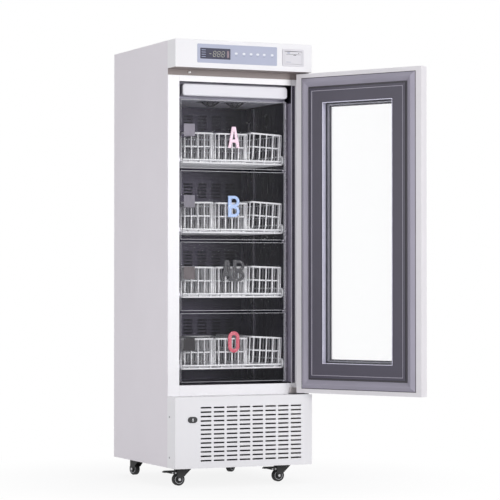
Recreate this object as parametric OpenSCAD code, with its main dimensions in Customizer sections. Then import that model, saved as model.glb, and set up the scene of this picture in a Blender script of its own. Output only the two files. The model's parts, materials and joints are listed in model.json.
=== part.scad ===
// Upright blood bank refrigerator with its glazed door standing open.
// Four wire drawers with clear swinging fronts, a head with controls, a slotted kick panel, casters.
// Millimetres. X to the right, Y to the back, Z up. The origin is on the floor under the cabinet's middle.

/* [Cabinet] */
// Width over the side panels
cabinet_w = 600; // [590:1:640]
// Depth of the insulated body behind the door
body_d = 597; // [585:1:640]
// Depth of the head and the kick panel in front of the body
front_d = 83; // [80:1:90]
// Floor to the underside of the base
caster_h = 75; // [74:0.5:80]
// Height of the kick panel
kick_h = 283; // [276:1:310]
// Height of the gap that the door closes
door_gap_h = 1308; // [1290:1:1340]
// Height of the head
head_h = 112; // [106:1:130]
// Sheet thickness of shell, head and kick panel
sheet_t = 2; // [1.5:0.1:2.5]
// Thickness of the insulated side walls
wall_w = 52; // [48:1:56]
// Thickness of the floor under the cavity
floor_w = 51; // [45:1:54]

/* [Opening] */
// Height of the white sill under the opening
sill_h = 43; // [40:1:50]
// Height of the white rail over the opening
rail_h = 24; // [20:1:30]
// Height of the switch rail under the head
switch_rail_h = 24; // [20:1:28]
// Thickness of the front frame and the switch rail
frame_t = 4; // [3:0.5:5]
// Depth of the cavity behind the front plane
cavity_d = 442; // [430:1:460]
// Thickness of the liner sheet
liner_t = 1.5; // [1:0.1:2]

/* [Air duct] */
// Space beside the slotted panel at the back of the cavity
duct_side = 35; // [28:1:38]
// Depth of the duct behind that panel
duct_d = 15; // [12:1:18]
// Length of one air slot
duct_slot_l = 41; // [36:1:46]
// Height of one air slot
duct_slot_h = 5; // [4:0.5:6]
// Distance from slot to slot along a row
duct_pitch_x = 64.5; // [60:0.5:66]
// Distance between rows of slots
duct_pitch_z = 13.7; // [12:0.1:15]
// Distance of each field of slots below the top of its drawer's clear front
duct_drop = 38; // [30:1:45]
// Radius of the probe port in the right-hand wall
port_r = 27; // [24:0.5:30]
// Distance of the port behind the front plane
port_back = 250; // [230:1:270]
// Distance of the port below the ceiling of the cavity
port_drop = 127; // [115:1:135]

/* [Ceiling unit] */
// Depth of the evaporator cover below the ceiling
evaporator_h = 66; // [62:1:67]
// Space beside the evaporator cover
evaporator_side = 13; // [8:1:18]
// Distance between the two fans
fan_spacing = 110; // [105:1:120]
// Distance of the fans behind the front plane
fan_back = 137; // [130:1:150]
// Radius of an evaporator fan
fan_r = 36; // [33:0.5:37]
// Space beside the lamp cover
lamp_side = 16; // [8:1:28]
// Height of the lamp cover
lamp_h = 48; // [44:1:50]
// Depth of the lamp cover
lamp_d = 34; // [30:1:36]

/* [Door] */
// Angle at which the door stands open
door_open = 119; // [100:1:125]
// Thickness of the door frame
door_t = 40; // [38:0.5:42]
// Gap between the door and the head or the kick panel
door_gap = 6; // [5.5:0.5:8]
// Gap between the door's edge and the cabinet's side
door_inset = 1; // [0.5:0.5:2]
// Width of the gasket
gasket_w = 19; // [17:0.5:20]
// Thickness of the gasket between door and front frame
gasket_t = 13; // [12:0.5:14]
// Distance from the door's side edge to the gasket
gasket_side = 28; // [26:0.5:30]
// Distance from the door's top or bottom edge to the gasket
gasket_end = 20; // [18:0.5:22]
// Height of the inner frame over the door's back
door_liner_h = 9; // [7:0.5:10]
// Width of the door's border beside the glass
glass_side = 149; // [140:1:160]
// Width of the door's border above and below the glass
glass_end = 138; // [130:1:150]
// Slope of the inner frame's reveal, seen square on
reveal_w = 22; // [18:1:24]
// Thickness of one pane
pane_t = 4; // [3:0.5:5]
// Space between the panes
pane_space = 12; // [10:0.5:13]
// Length of the door handle
handle_l = 320; // [280:5:400]
// Space for fingers behind the handle
handle_gap = 34; // [30:1:40]
// Distance of the handle from the door's free edge
handle_side = 52; // [40:1:60]
// Distance from the hinge pin to the door's side edge
pin_side = 16; // [14:0.5:18]
// Distance from the hinge pin to the door's outer face
pin_face = 10; // [9:0.5:12]
// Radius of the hinge pins
pin_r = 5; // [4:0.5:6]

/* [Drawers] */
// Space beside a tray for its runner, rail and uprights
tray_side = 18; // [16:0.5:20]
// Space behind a drawer
drawer_behind = 12; // [8:1:20]
// Height of each tray above the lower edge of its clear front, top drawer first
tray_lift = [20, 26, 52, 50]; // [10:1:60]
// Height of a basket
basket_h = 120; // [110:1:130]
// Bar thickness of trays and baskets
wire_t = 3.5; // [3:0.1:4]
// Gap between baskets, and between a basket and the tray's lips
basket_gap = 4.5; // [2:0.5:6]
// Height of the tray's side lips
lip_h = 34; // [30:1:40]
// Height of a runner bar
runner_h = 12; // [10:0.5:14]
// Width of a runner bar
runner_w = 9.6; // [9:0.1:10]
// Sheet thickness of the fixed rails
rail_t = 2; // [1.5:0.1:2.5]
// Distance of the clear fronts behind the front plane
clear_back = 25; // [24:0.5:30]
// Thickness of a clear front
clear_t = 5; // [4:0.5:5.5]
// Gap between two clear fronts
clear_gap = 9; // [8.5:0.5:12]
// Width of a pull
pull_w = 48; // [44:1:52]
// Height of a pull
pull_h = 50; // [44:1:56]
// Reach of a pull in front of its clear front
pull_d = 20; // [18:0.5:21]
// Height of a blood-group sign
sign_h = 86; // [80:1:92]
// Width of one letter on a sign
sign_w = 50; // [46:1:52]
// Stroke of a letter
stroke = 15; // [12:0.5:16]
// Thickness of a sign
sign_t = 4; // [3:0.5:4.5]
// Height of the signs above their tray
sign_lift = 67; // [60:1:72]

/* [Head] */
// Distance between the control panel and the printer
panel_gap = 25; // [15:1:35]
// Height of the control panel
panel_h = 75; // [70:1:80]
// Distance of the control panel from the cabinet's left side
panel_left = 94; // [85:1:100]
// Distance of the control panel below the top
panel_drop = 16.5; // [12:0.5:20]
// Width of the display window
display_w = 131; // [120:1:140]
// Height of the display window
display_h = 43; // [38:1:48]
// Width of the printer's bezel
printer_w = 94; // [90:1:98]
// Height of the printer's bezel
printer_h = 69; // [66:1:74]
// Distance of the printer from the cabinet's right side
printer_right = 38; // [34:1:42]
// Distance of the printer below the top
printer_drop = 21.5; // [16:0.5:26]
// Depth of the printer's housing behind the head's face
printer_d = 55; // [50:1:60]
// Distance of the door switch from the cabinet's left side
switch_left = 93; // [80:1:110]
// Radius of the door switch's plunger
plunger_r = 4; // [3:0.5:5]

/* [Kick panel] */
// Columns of slots
slot_columns = 8; // [6:1:8]
// Rows of slots
slot_rows = 13; // [10:1:13]
// Length of a slot
slot_l = 46; // [42:1:50]
// Height of a slot
slot_h = 6; // [5:0.5:7]
// Distance of the slots from the cabinet's left side
slot_left = 109.5; // [105:0.5:120]
// Distance from row to row
slot_pitch_z = 17.5; // [16:0.5:18]
// Distance of the slots from the cabinet's right side
slot_right = 49; // [40:1:54]
// Distance of the slots below the top of the kick panel
slot_drop = 40; // [30:1:45]
// Distance of the lock from the cabinet's left side
lock_left = 74; // [70:1:78]
// Distance of the lock below the top of the kick panel
lock_drop = 90; // [80:1:95]
// Radius of the lock barrel
barrel_r = 8; // [7:0.5:9]
// Radius of the lock bolt
bolt_r = 5; // [4:0.5:5.5]
// Travel of the lock bolt
bolt_lift = 15; // [13:0.5:16]

/* [Machinery] */
// Distance of the compressor's middle from the cabinet's left side
compressor_left = 165; // [140:1:175]
// Distance of the compressor's middle from the back
compressor_behind = 190; // [120:1:200]
// Radius of the compressor's shell
compressor_r = 72; // [60:1:80]
// Height of the compressor
compressor_h = 165; // [140:1:180]
// Width of the condenser
condenser_w = 240; // [220:1:250]
// Height of the condenser
condenser_h = 200; // [190:1:220]
// Depth of the condenser
condenser_d = 50; // [44:1:56]
// Radius of the condenser fan
condenser_fan_r = 80; // [70:1:85]

/* [Casters] */
// Radius of a wheel
wheel_r = 25; // [24:0.5:26]
// Width of a wheel's tread
wheel_w = 20; // [18:0.5:21]
// Distance from the swivel axis to the axle
trail = 22; // [20:0.5:23]
// Distance of the swivel axes from the cabinet's sides
caster_side = 80; // [75:1:90]
// Distance of the front swivel axes from the front of the kick panel
caster_front = 110; // [100:1:120]
// Distance of the rear swivel axes from the back
caster_rear = 72; // [66:1:85]
// Angle of each caster about its swivel axis: front left, front right, rear left, rear right
caster_turn = [0, 0, -75, 35]; // [-180:1:180]

/* [Hidden] */
$fn = 48;

// Clearances: running fits, sliding fits, closed door, seams within one assembly, overshoot of a cut
run_gap = 0.05;
slide_gap = 0.4;
close_gap = 0.3;
seam = 0.05;
cut = 1;

// Planes of the cabinet
side_x = cabinet_w / 2;
y_front = -(body_d + front_d) / 2;
y_body = y_front + front_d;
y_back = y_body + body_d;
z_base = caster_h;
z_kick = z_base + kick_h;
z_head = z_kick + door_gap_h;
z_top = z_head + head_h;

// Cavity inside the liner
cav_x = side_x - wall_w;
cav_y0 = y_body + frame_t;
cav_y1 = y_body + cavity_d;
cav_z0 = z_kick + sill_h;
cav_z1 = z_head - switch_rail_h - rail_h;
foam_z0 = cav_z0 - liner_t - floor_w;
port_y = y_body + port_back;
port_z = cav_z1 - port_drop;
port_wall = 2;

// Ceiling unit, lamp and duct
evaporator_z = cav_z1 - evaporator_h;
lamp_y = cav_y0 + 1;
lamp_drop = 8;
lamp_corner = 12;
evaporator_y0 = lamp_y + lamp_d;
duct_y = cav_y1 - duct_d;
duct_x = cav_x - duct_side;
duct_gap = 4;
duct_top = evaporator_z - duct_gap;
evaporator_y1 = duct_y - duct_gap / 2;
fan_y = y_body + fan_back;
fan_hole_r = fan_r + 4;
fan_shaft_r = 2;
fan_hub_r = 11;
fan_hub_h = 10;
fan_z = evaporator_z + 2 * fan_hub_h + 2;
motor_gap = 4;
guard_rim = 3;
guard_bar = 2;
blade_t = 1.5;

// Clear fronts and drawers, counted from the top
drawers = 4;
clear_y = y_body + clear_back;
clear_low = 10;
clear_high = 3;
clear_z0 = cav_z0 + clear_low;
clear_z1 = evaporator_z - clear_high;
clear_h = (clear_z1 - clear_z0 - (drawers - 1) * clear_gap) / drawers;
function clear_z(i) = clear_z0 + (drawers - i) * (clear_h + clear_gap);
sign_gap = 1;
drawer_y0 = clear_y + clear_t + sign_gap + sign_t;
drawer_d = duct_y - drawer_behind - drawer_y0;
function tray_z(i) = clear_z(i) + tray_lift[i - 1];
tray_w = 2 * (cav_x - tray_side);
baskets = 3;
basket_w = (tray_w - 2 * wire_t - (baskets + 1) * basket_gap) / baskets;
runner_x = tray_w / 2 + seam;
runner_z = 8;
rail_x0 = runner_x + 1;
rail_web = runner_x + runner_w + slide_gap;
post_w = 25;
pivot_r = 2.5;
pivot_in = 6;
pivot_edge = 4;
pivot_x = runner_x - pivot_in;
pivot_y = clear_y + clear_t / 2;
clear_x1 = pivot_x + pivot_edge;
clear_x0 = -tray_w / 2 - 2;
lug_t = clear_gap / 3;
lug_w = 2 * clear_t;
web_x = runner_x - slide_gap;
web_t = 4;
pull_t = 2;
pull_foot = 14;
pull_rise = 14;

// Door, drawn closed and then swung about its pins
door_x = side_x - door_inset;
door_z0 = z_kick + door_gap;
door_z1 = z_head - door_gap;
door_back = y_body - gasket_t - close_gap;
door_face = door_back - door_t;
pin_x = door_x - pin_side;
pin_y = door_face + pin_face;
door_mid_z = (door_z0 + door_z1) / 2;
glass_w = 2 * (door_x - glass_side);
glass_h = door_z1 - door_z0 - 2 * glass_end;
rebate = 20;
lip_t = 4;
unit_t = 2 * pane_t + pane_space;
glass_back = door_face + lip_t + unit_t;
hinge_t = door_gap / 2;
hinge_reach = 18;
hinge_plate = [38, 44];
handle_r = 9;
handle_post_r = 7;
handle_post_in = 30;

// Head fittings
panel_x0 = -side_x + panel_left;
panel_w = side_x - printer_right - printer_w - panel_gap - panel_x0;
panel_z0 = z_top - panel_drop - panel_h;
panel_t = 1.5;
panel_corner = 4;
display_t = 0.8;
display_in = 12;
printer_x0 = side_x - printer_right - printer_w;
printer_x1 = printer_x0 + printer_w;
printer_z0 = z_top - printer_drop - printer_h;
printer_z1 = printer_z0 + printer_h;
bezel_t = 5;
bezel_rim = 8;
housing_t = 3;
housing_rim = bezel_rim - housing_t;
cover_t = 3;
cover_gap = 0.8;
cover_recess = 1;
cover_pin_r = 1.5;
cover_pin_l = 3;
cover_axis_z = printer_z0 + bezel_rim + cover_gap + 1.2 * cover_t;
cover_axis_y = y_front - bezel_t + cover_recess + cover_t / 2;
plunger_x = -side_x + switch_left;
plunger_z = z_head - switch_rail_h / 2;
plunger_tip_gap = 0.5;
plunger_tail = 14;
switch_hole_d = 40;

// Lock and its bolt, which rises into the middle of the door's lower edge
lock_x = -side_x + lock_left;
lock_z = z_kick - lock_drop;
sleeve_t = 2;
sleeve_l = 22;
escutcheon = [40, 24, 3];
crank_r = bolt_lift / sqrt(2);
crank_pin_r = 3;
crank_t = 3;
crank_rim = 2;
bolt_x = lock_x + crank_r;
bolt_y = (door_face + door_back) / 2;
bolt_behind = 12;
crank_y = bolt_y - bolt_behind;
yoke_gap = 0.7;
yoke_wall = 5;
yoke_t = 8;

// Machine bay
base_t = 3;
bay_z = z_base + base_t;
condenser_x = 40;
condenser_y = y_body + 60;
condenser_end = 6;
fin_t = 2;
fins = 16;
shroud_d = 25;
shroud_t = 2;
condenser_fan_z = bay_z + condenser_h / 2;
condenser_fan_y = condenser_y + condenser_d + shroud_d / 2;
condenser_hub_r = 20;
condenser_hub_h = 14;
condenser_shaft_r = 3;
fan_bar = [24, 4];

// Casters
caster_x = side_x - caster_side;
caster_at = [
    [-caster_x, y_front + caster_front],
    [caster_x, y_front + caster_front],
    [-caster_x, y_back - caster_rear],
    [caster_x, y_back - caster_rear]
];
plate_w = 62;
plate_t = 3;
plate_bolt = 22;
bolt_hole_r = 3.3;
bolt_gap = 0.1;
hex_r = 5.5;
hex_t = 3.5;
king_r = 5;
nut_r = 8;
nut_t = 5;
disc_r = 19;
disc_t = 6;
disc_z1 = z_base - plate_t - close_gap;
disc_z0 = disc_z1 - disc_t;
arm_t = 3;
arm_y = wheel_w / 2 + 2;
axle_r = 4;
axle_end = 2;
boss_r = 8.5;
tread_r = 3;
pedal_r = 2.5;
pedal_pivot = [-trail + 5, disc_z0 - 7];
pedal_l = 66;
pedal_t = 4;
pedal_tread = 18;
pedal_lip = 3;

// Block between two opposite corners
module block(from, to) {
    translate(from) cube(to - from);
}

// Round bar along X, Y or Z from a point
module x_bar(at, l, r) {
    translate(at) rotate([0, 90, 0]) cylinder(h = l, r = r);
}

module y_bar(at, l, r) {
    translate(at) rotate([-90, 0, 0]) cylinder(h = l, r = r);
}

module z_bar(at, l, r) {
    translate(at) cylinder(h = l, r = r);
}

// Rectangle with round corners, from its lower left corner
module round_rect(w, h, r) {
    translate([r, 0]) square([w - 2 * r, h]);
    translate([0, r]) square([w, h - 2 * r]);
    for (x = [r, w - r], y = [r, h - r]) translate([x, y]) circle(r);
}

// Flat grille of bars with nx by ny windows
module grille(w, h, nx, ny, bar = wire_t, t = wire_t) {
    gap_x = (w - (nx + 1) * bar) / nx;
    gap_y = (h - (ny + 1) * bar) / ny;
    linear_extrude(t) difference() {
        square([w, h]);
        for (i = [0:nx - 1], j = [0:ny - 1])
            translate([bar + i * (gap_x + bar), bar + j * (gap_y + bar)]) square([gap_x, gap_y]);
    }
}

// Copies for the left and the right side
module both_sides() {
    children();
    mirror([1, 0, 0]) children();
}

// Bar along the probe port, through everything on the right-hand wall
module port_bar(r) {
    x_bar([cav_x - cut, port_y, port_z], wall_w + 2 * cut, r);
}

module outer_shell() color("whitesmoke") difference() {
    inner_x = side_x - sheet_t;
    block([-side_x, y_body, z_base], [side_x, y_back - sheet_t, z_top]);
    block([-inner_x, y_body - cut, z_base - cut], [inner_x, y_back, z_top - sheet_t]);
    port_bar(port_r + port_wall + seam);
}

module back_panel() color("whitesmoke") difference() {
    vent_rows = 9;
    vent_w = 70;
    vent_h = 8;
    vent_pitch = [91, 22];
    block([-side_x, y_back - sheet_t, z_base], [side_x, y_back, z_top]);
    for (i = [-2:2], j = [1:vent_rows])
        translate([i * vent_pitch[0] - vent_w / 2, y_back - sheet_t - cut, bay_z + j * vent_pitch[1]])
            cube([vent_w, sheet_t + 2 * cut, vent_h]);
}

// Two side slabs, and slabs behind, below and above the liner
module insulation() color("khaki") {
    x0 = cav_x + liner_t + seam;
    x1 = side_x - sheet_t - seam;
    x2 = x0 - seam;
    y1 = y_back - sheet_t - seam;
    z1 = z_top - sheet_t - seam;
    liner_back = cav_y1 + liner_t + seam;
    difference() {
        both_sides() block([x0, cav_y0, foam_z0], [x1, y1, z1]);
        port_bar(port_r + port_wall + seam);
    }
    block([-x2, liner_back, foam_z0], [x2, y1, z1]);
    block([-x2, cav_y0, foam_z0], [x2, liner_back - seam, cav_z0 - liner_t - seam]);
    difference() {
        block([-x2, cav_y0, cav_z1 + liner_t + seam], [x2, liner_back - seam, z1]);
        y_bar([plunger_x, cav_y0 - cut, plunger_z], switch_hole_d, plunger_r + sleeve_t);
    }
}

// Five sheets round the cavity, with the sleeve of the probe port on the right-hand one
module inner_liner() color("silver") {
    x = cav_x - seam;
    y1 = cav_y1 + liner_t;
    difference() {
        union() {
            both_sides() block([cav_x, cav_y0, cav_z0 - liner_t], [cav_x + liner_t, y1, cav_z1 + liner_t]);
            x_bar([cav_x, port_y, port_z], wall_w, port_r + port_wall);
        }
        port_bar(port_r);
    }
    block([-x, cav_y1, cav_z0], [x, y1, cav_z1]);
    block([-x, cav_y0, cav_z0 - liner_t], [x, y1, cav_z0 - seam]);
    block([-x, cav_y0, cav_z1 + seam], [x, y1, cav_z1 + liner_t]);
}

module front_frame() color("white") {
    x0 = cav_x - seam;
    x1 = side_x - sheet_t - seam;
    y1 = cav_y0 - seam;
    z1 = z_head - switch_rail_h;
    both_sides() block([cav_x, y_body, z_kick], [x1, y1, z1]);
    block([-x0, y_body, z_kick], [x0, y1, cav_z0]);
    block([-x0, y_body, cav_z1], [x0, y1, z1]);
}

module switch_rail() color("dimgray") difference() {
    x = side_x - sheet_t - seam;
    block([-x, y_body, z_head - switch_rail_h + seam], [x, cav_y0 - seam, z_head]);
    y_bar([plunger_x, y_body - cut, plunger_z], frame_t + 2 * cut, plunger_r + run_gap);
}

module switch_plunger() color("white") {
    reach = gasket_t + close_gap - plunger_tip_gap;
    y_bar([plunger_x, y_body - reach, plunger_z], reach + plunger_tail, plunger_r);
}

// Shallow channel on the back wall with a field of slots behind each drawer
module duct_panel() color("gray") difference() {
    columns = 6;
    rows = 5;
    inner_x = duct_x - liner_t;
    block([-duct_x, duct_y, cav_z0 + seam], [duct_x, cav_y1 - seam, duct_top]);
    block([-inner_x, duct_y + liner_t, cav_z0 - cut], [inner_x, cav_y1, duct_top + cut]);
    for (i = [1:drawers], c = [0:columns - 1], r = [0:rows - 1]) {
        x = (c - (columns - 1) / 2) * duct_pitch_x - duct_slot_l / 2;
        z = clear_z(i) + clear_h - duct_drop - r * duct_pitch_z;
        translate([x, duct_y - cut, z]) cube([duct_slot_l, liner_t + 2 * cut, duct_slot_h]);
    }
}

// Slotted uprights on the cavity walls, and one channel for each drawer's runner
module drawer_rails() color("silver") both_sides() {
    web_x1 = rail_web + rail_t;
    y1 = drawer_y0 + drawer_d;
    low = -slide_gap - rail_t;
    high = runner_h + slide_gap + rail_t;
    for (y = [drawer_y0, y1 - 2 * post_w])
        block([web_x1 + seam, y, cav_z0 + seam], [cav_x - seam, y + post_w, duct_top]);
    for (i = [1:drawers]) translate([0, 0, tray_z(i) + runner_z]) difference() {
        block([rail_x0, drawer_y0, low], [web_x1, y1, high]);
        block([rail_x0 - cut, drawer_y0 - cut, low + rail_t], [rail_web, y1 + cut, high - rail_t]);
    }
}

// Cover with two round fan openings and their guards, and the fan motors above them
module evaporator_cover() color("silver") {
    x = cav_x - evaporator_side;
    inner_x = x - liner_t;
    motor_z = fan_z + fan_hub_h + motor_gap;
    guard_w = 2 * (fan_hole_r + guard_rim);
    guard_windows = 6;
    difference() {
        block([-x, evaporator_y0 + seam, evaporator_z], [x, evaporator_y1, cav_z1 - seam]);
        block([-inner_x, evaporator_y0 + liner_t, evaporator_z + liner_t],
              [inner_x, evaporator_y1 - liner_t, cav_z1 + cut]);
        for (s = [-1, 1])
            z_bar([s * fan_spacing / 2, fan_y, evaporator_z - cut], liner_t + 2 * cut, fan_hole_r);
    }
    for (s = [-1, 1]) translate([s * fan_spacing / 2, fan_y, 0]) {
        z_bar([0, 0, motor_z], cav_z1 - motor_z - seam, fan_hub_r);
        z_bar([0, 0, fan_z - cut], motor_z - fan_z + 2 * cut, fan_shaft_r);
        translate([-guard_w / 2, -guard_w / 2, evaporator_z - guard_bar - seam])
            grille(guard_w, guard_w, guard_windows, guard_windows, guard_bar, guard_bar);
    }
}

// Rotor with flat pitched blades on a hub, about Z
module rotor(r, hub_r, hub_h, bore_r, blades, pitch) difference() {
    chord = 0.8 * hub_h / sin(pitch);
    union() {
        cylinder(h = hub_h, r = hub_r);
        for (a = [0:blades - 1]) rotate([0, 0, a * 360 / blades]) translate([hub_r - cut, 0, hub_h / 2])
            rotate([pitch, 0, 0])
                translate([0, -chord / 2, -blade_t / 2]) cube([r - hub_r, chord, blade_t]);
    }
    translate([0, 0, -cut]) cylinder(h = hub_h + 2 * cut, r = bore_r);
}

module evaporator_fan(i) color("black") translate([(i - 1.5) * fan_spacing, fan_y, fan_z])
    rotor(fan_r, fan_hub_r, fan_hub_h, fan_shaft_r + run_gap, 5, 35);

module lamp_cover() color("white") {
    x = cav_x - lamp_side;
    translate([-x, lamp_y + lamp_d, cav_z1 - lamp_drop - lamp_h])
        rotate([90, 0, 0]) linear_extrude(lamp_d) round_rect(2 * x, lamp_h, lamp_corner);
}

// Box behind the door's top edge line, open at the back, with the printer's window
module head_cover() color("whitesmoke") difference() {
    inner_x = side_x - sheet_t;
    rim = housing_rim - seam;
    block([-side_x, y_front, z_head], [side_x, y_body - seam, z_top]);
    block([-inner_x, y_front + sheet_t, z_head + sheet_t], [inner_x, y_body, z_top - sheet_t]);
    block([printer_x0 + rim, y_front - cut, printer_z0 + rim],
          [printer_x1 - rim, y_front + sheet_t + cut, printer_z1 - rim]);
}

module control_panel() color("lightsteelblue") translate([panel_x0, y_front, panel_z0])
    rotate([90, 0, 0]) linear_extrude(panel_t) round_rect(panel_w, panel_h, panel_corner);

module display_window() color("darkslategray")
    translate([panel_x0 + display_in, y_front - panel_t, panel_z0 + (panel_h - display_h) / 2])
        rotate([90, 0, 0]) linear_extrude(display_t) round_rect(display_w, display_h, panel_corner / 2);

// Bezel on the head's face with a housing behind it, open to the front under the cover
module printer_body() color("gainsboro") difference() {
    pin_reach = cover_pin_l + 1;
    union() {
        translate([printer_x0, y_front, printer_z0]) rotate([90, 0, 0]) linear_extrude(bezel_t)
            round_rect(printer_w, printer_h, panel_corner);
        block([printer_x0 + housing_rim, y_front - cut, printer_z0 + housing_rim],
              [printer_x1 - housing_rim, y_front + printer_d, printer_z1 - housing_rim]);
    }
    block([printer_x0 + bezel_rim, y_front - bezel_t - cut, printer_z0 + bezel_rim],
          [printer_x1 - bezel_rim, y_front + printer_d - housing_t, printer_z1 - bezel_rim]);
    x_bar([printer_x0 + bezel_rim - pin_reach, cover_axis_y, cover_axis_z],
          printer_w - 2 * (bezel_rim - pin_reach), cover_pin_r + run_gap);
}

module printer_cover() color("gainsboro") {
    rim = bezel_rim + cover_gap;
    x0 = printer_x0 + rim;
    x1 = printer_x1 - rim;
    y0 = cover_axis_y - cover_t / 2;
    pin_x0 = x0 - cover_gap - cover_pin_l;
    finger_gap = 2;
    block([x0, y0, printer_z0 + rim], [x1, y0 + cover_t, printer_z1 - bezel_rim - finger_gap]);
    x_bar([pin_x0, cover_axis_y, cover_axis_z], x1 - x0 + 2 * (x0 - pin_x0), cover_pin_r);
}

module base_plate() color("dimgray") difference() {
    x = side_x - sheet_t;
    block([-x, y_front + sheet_t, z_base], [x, y_back - sheet_t, bay_z]);
    for (at = caster_at, i = [-1, 1], j = [-1, 1])
        z_bar([at[0] + i * plate_bolt, at[1] + j * plate_bolt, z_base - cut],
              base_t + 2 * cut, bolt_hole_r);
}

// Front with a field of slots, two side returns and a ledge under the door
module kick_panel() color("whitesmoke") difference() {
    inner_x = side_x - sheet_t;
    slot_x0 = -side_x + slot_left;
    slot_pitch_x = (side_x - slot_right - slot_l - slot_x0) / (slot_columns - 1);
    slot_z0 = z_kick - slot_drop - slot_h;
    block([-side_x, y_front, z_base], [side_x, y_body - seam, z_kick]);
    block([-inner_x, y_front + sheet_t, z_base - cut], [inner_x, y_body, z_kick - sheet_t]);
    for (c = [0:slot_columns - 1], r = [0:slot_rows - 1])
        translate([slot_x0 + c * slot_pitch_x, y_front - cut, slot_z0 - r * slot_pitch_z])
            cube([slot_l, sheet_t + 2 * cut, slot_h]);
    y_bar([lock_x, y_front - cut, lock_z], sheet_t + 2 * cut, barrel_r + sleeve_t + seam);
    z_bar([bolt_x, bolt_y, z_kick - sheet_t - cut], sheet_t + 2 * cut, bolt_r + run_gap);
}

// Oval escutcheon with the sleeve that the barrel turns in
module lock_bezel() color("black") difference() {
    w = escutcheon[0];
    h = escutcheon[1];
    t = escutcheon[2];
    end_r = h / 2 - seam;
    union() {
        translate([lock_x - w / 2, y_front, lock_z - h / 2]) rotate([90, 0, 0]) linear_extrude(t)
            round_rect(w, h, end_r);
        y_bar([lock_x, y_front - cut, lock_z], sleeve_l, barrel_r + sleeve_t);
    }
    y_bar([lock_x, y_front - t - cut, lock_z], t + sleeve_l + 2 * cut, barrel_r + run_gap);
}

// Barrel with a key slot in front, and a crank pin behind that lifts the bolt
module lock_barrel() color("silver") {
    nose_y = y_front - escutcheon[2] - 2;
    key = [2, 8, 10];
    crank_y0 = crank_y - crank_t / 2;
    difference() {
        y_bar([lock_x, nose_y, lock_z], crank_y - nose_y, barrel_r);
        block([lock_x - key[0] / 2, nose_y - cut, lock_z - key[2] / 2],
              [lock_x + key[0] / 2, nose_y + key[1], lock_z + key[2] / 2]);
    }
    y_bar([lock_x, crank_y0, lock_z], crank_t, crank_r + crank_pin_r + crank_rim);
    y_bar([lock_x + bolt_lift / 2, crank_y, lock_z - bolt_lift / 2], yoke_t + crank_t + 2, crank_pin_r);
}

// Yoke round the crank pin, with the round bolt that rises through the ledge
module lock_bolt() color("silver") {
    slot_z = lock_z - bolt_lift / 2;
    half = crank_pin_r + yoke_gap;
    yoke_y = crank_y + crank_t / 2 + slide_gap;
    bolt_z0 = slot_z + half + cut;
    difference() {
        union() {
            block([lock_x, yoke_y, slot_z - half - yoke_wall],
                  [bolt_x + half + yoke_wall, yoke_y + yoke_t, slot_z + half + yoke_wall + cut]);
            z_bar([bolt_x, bolt_y, bolt_z0], z_kick - close_gap - bolt_z0, bolt_r);
        }
        block([lock_x + bolt_lift / 2 - half, yoke_y - cut, slot_z - half],
              [bolt_x + half, yoke_y + yoke_t + cut, slot_z + half]);
    }
}

// Hermetic shell on four short feet
module compressor() color("black") {
    at = [-side_x + compressor_left, y_back - compressor_behind, bay_z];
    foot_h = 18;
    foot_r = 9;
    foot_in = 0.625 * compressor_r;
    shoulder = 30;
    translate(at) {
        rotate_extrude() {
            translate([0, foot_h]) square([compressor_r, compressor_h - foot_h - shoulder]);
            translate([0, foot_h]) square([compressor_r - shoulder, compressor_h - foot_h]);
            intersection() {
                translate([compressor_r - shoulder, compressor_h - shoulder]) circle(shoulder);
                square([compressor_r, compressor_h]);
            }
        }
        for (x = [-1, 1], y = [-1, 1]) z_bar([x * foot_in, y * foot_in, 0], foot_h + cut, foot_r);
    }
}

// Finned block with its shroud, and the fan motor on an upright bar
module condenser() color("dimgray") {
    x0 = condenser_x - condenser_w / 2;
    x1 = condenser_x + condenser_w / 2;
    y1 = condenser_y + condenser_d;
    z1 = bay_z + condenser_h;
    fin_pitch = (condenser_w - fin_t) / fins;
    block([x0, condenser_y, bay_z], [x1, y1, bay_z + condenser_end]);
    block([x0, condenser_y, z1 - condenser_end], [x1, y1, z1]);
    for (i = [0:fins]) translate([x0 + i * fin_pitch, condenser_y + cut, bay_z + condenser_end - cut])
        cube([fin_t, condenser_d - 2 * cut, condenser_h - 2 * condenser_end + 2 * cut]);
    difference() {
        block([x0, y1 + seam, bay_z], [x1, y1 + shroud_d, z1]);
        block([x0 + shroud_t, y1 - cut, bay_z + shroud_t],
              [x1 - shroud_t, y1 + shroud_d - shroud_t, z1 - shroud_t]);
        y_bar([condenser_x, y1, condenser_fan_z], shroud_d + cut, condenser_fan_r + motor_gap);
    }
    motor = [22, 14];
    motor_y = condenser_fan_y + condenser_hub_h + 2;
    bar_y = motor_y + motor[1] - fan_bar[1];
    y_bar([condenser_x, motor_y, condenser_fan_z], motor[1], motor[0]);
    y_bar([condenser_x, condenser_fan_y - cut, condenser_fan_z], condenser_hub_h + 4, condenser_shaft_r);
    block([condenser_x - fan_bar[0] / 2, bar_y, bay_z],
          [condenser_x + fan_bar[0] / 2, bar_y + fan_bar[1], condenser_fan_z]);
}

module condenser_fan() color("black") translate([condenser_x, condenser_fan_y, condenser_fan_z])
    rotate([-90, 0, 0])
        rotor(condenser_fan_r, condenser_hub_r, condenser_hub_h, condenser_shaft_r + run_gap, 5, 30);

// Swing the closed door open about its pins
module door_pose() {
    translate([pin_x, pin_y, 0]) rotate([0, 0, door_open]) translate([-pin_x, -pin_y, 0]) children();
}

// Upright window cut, from its width, height and two depths
module window(w, h, y0, y1) {
    block([-w / 2, y0, door_mid_z - h / 2], [w / 2, y1, door_mid_z + h / 2]);
}

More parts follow.
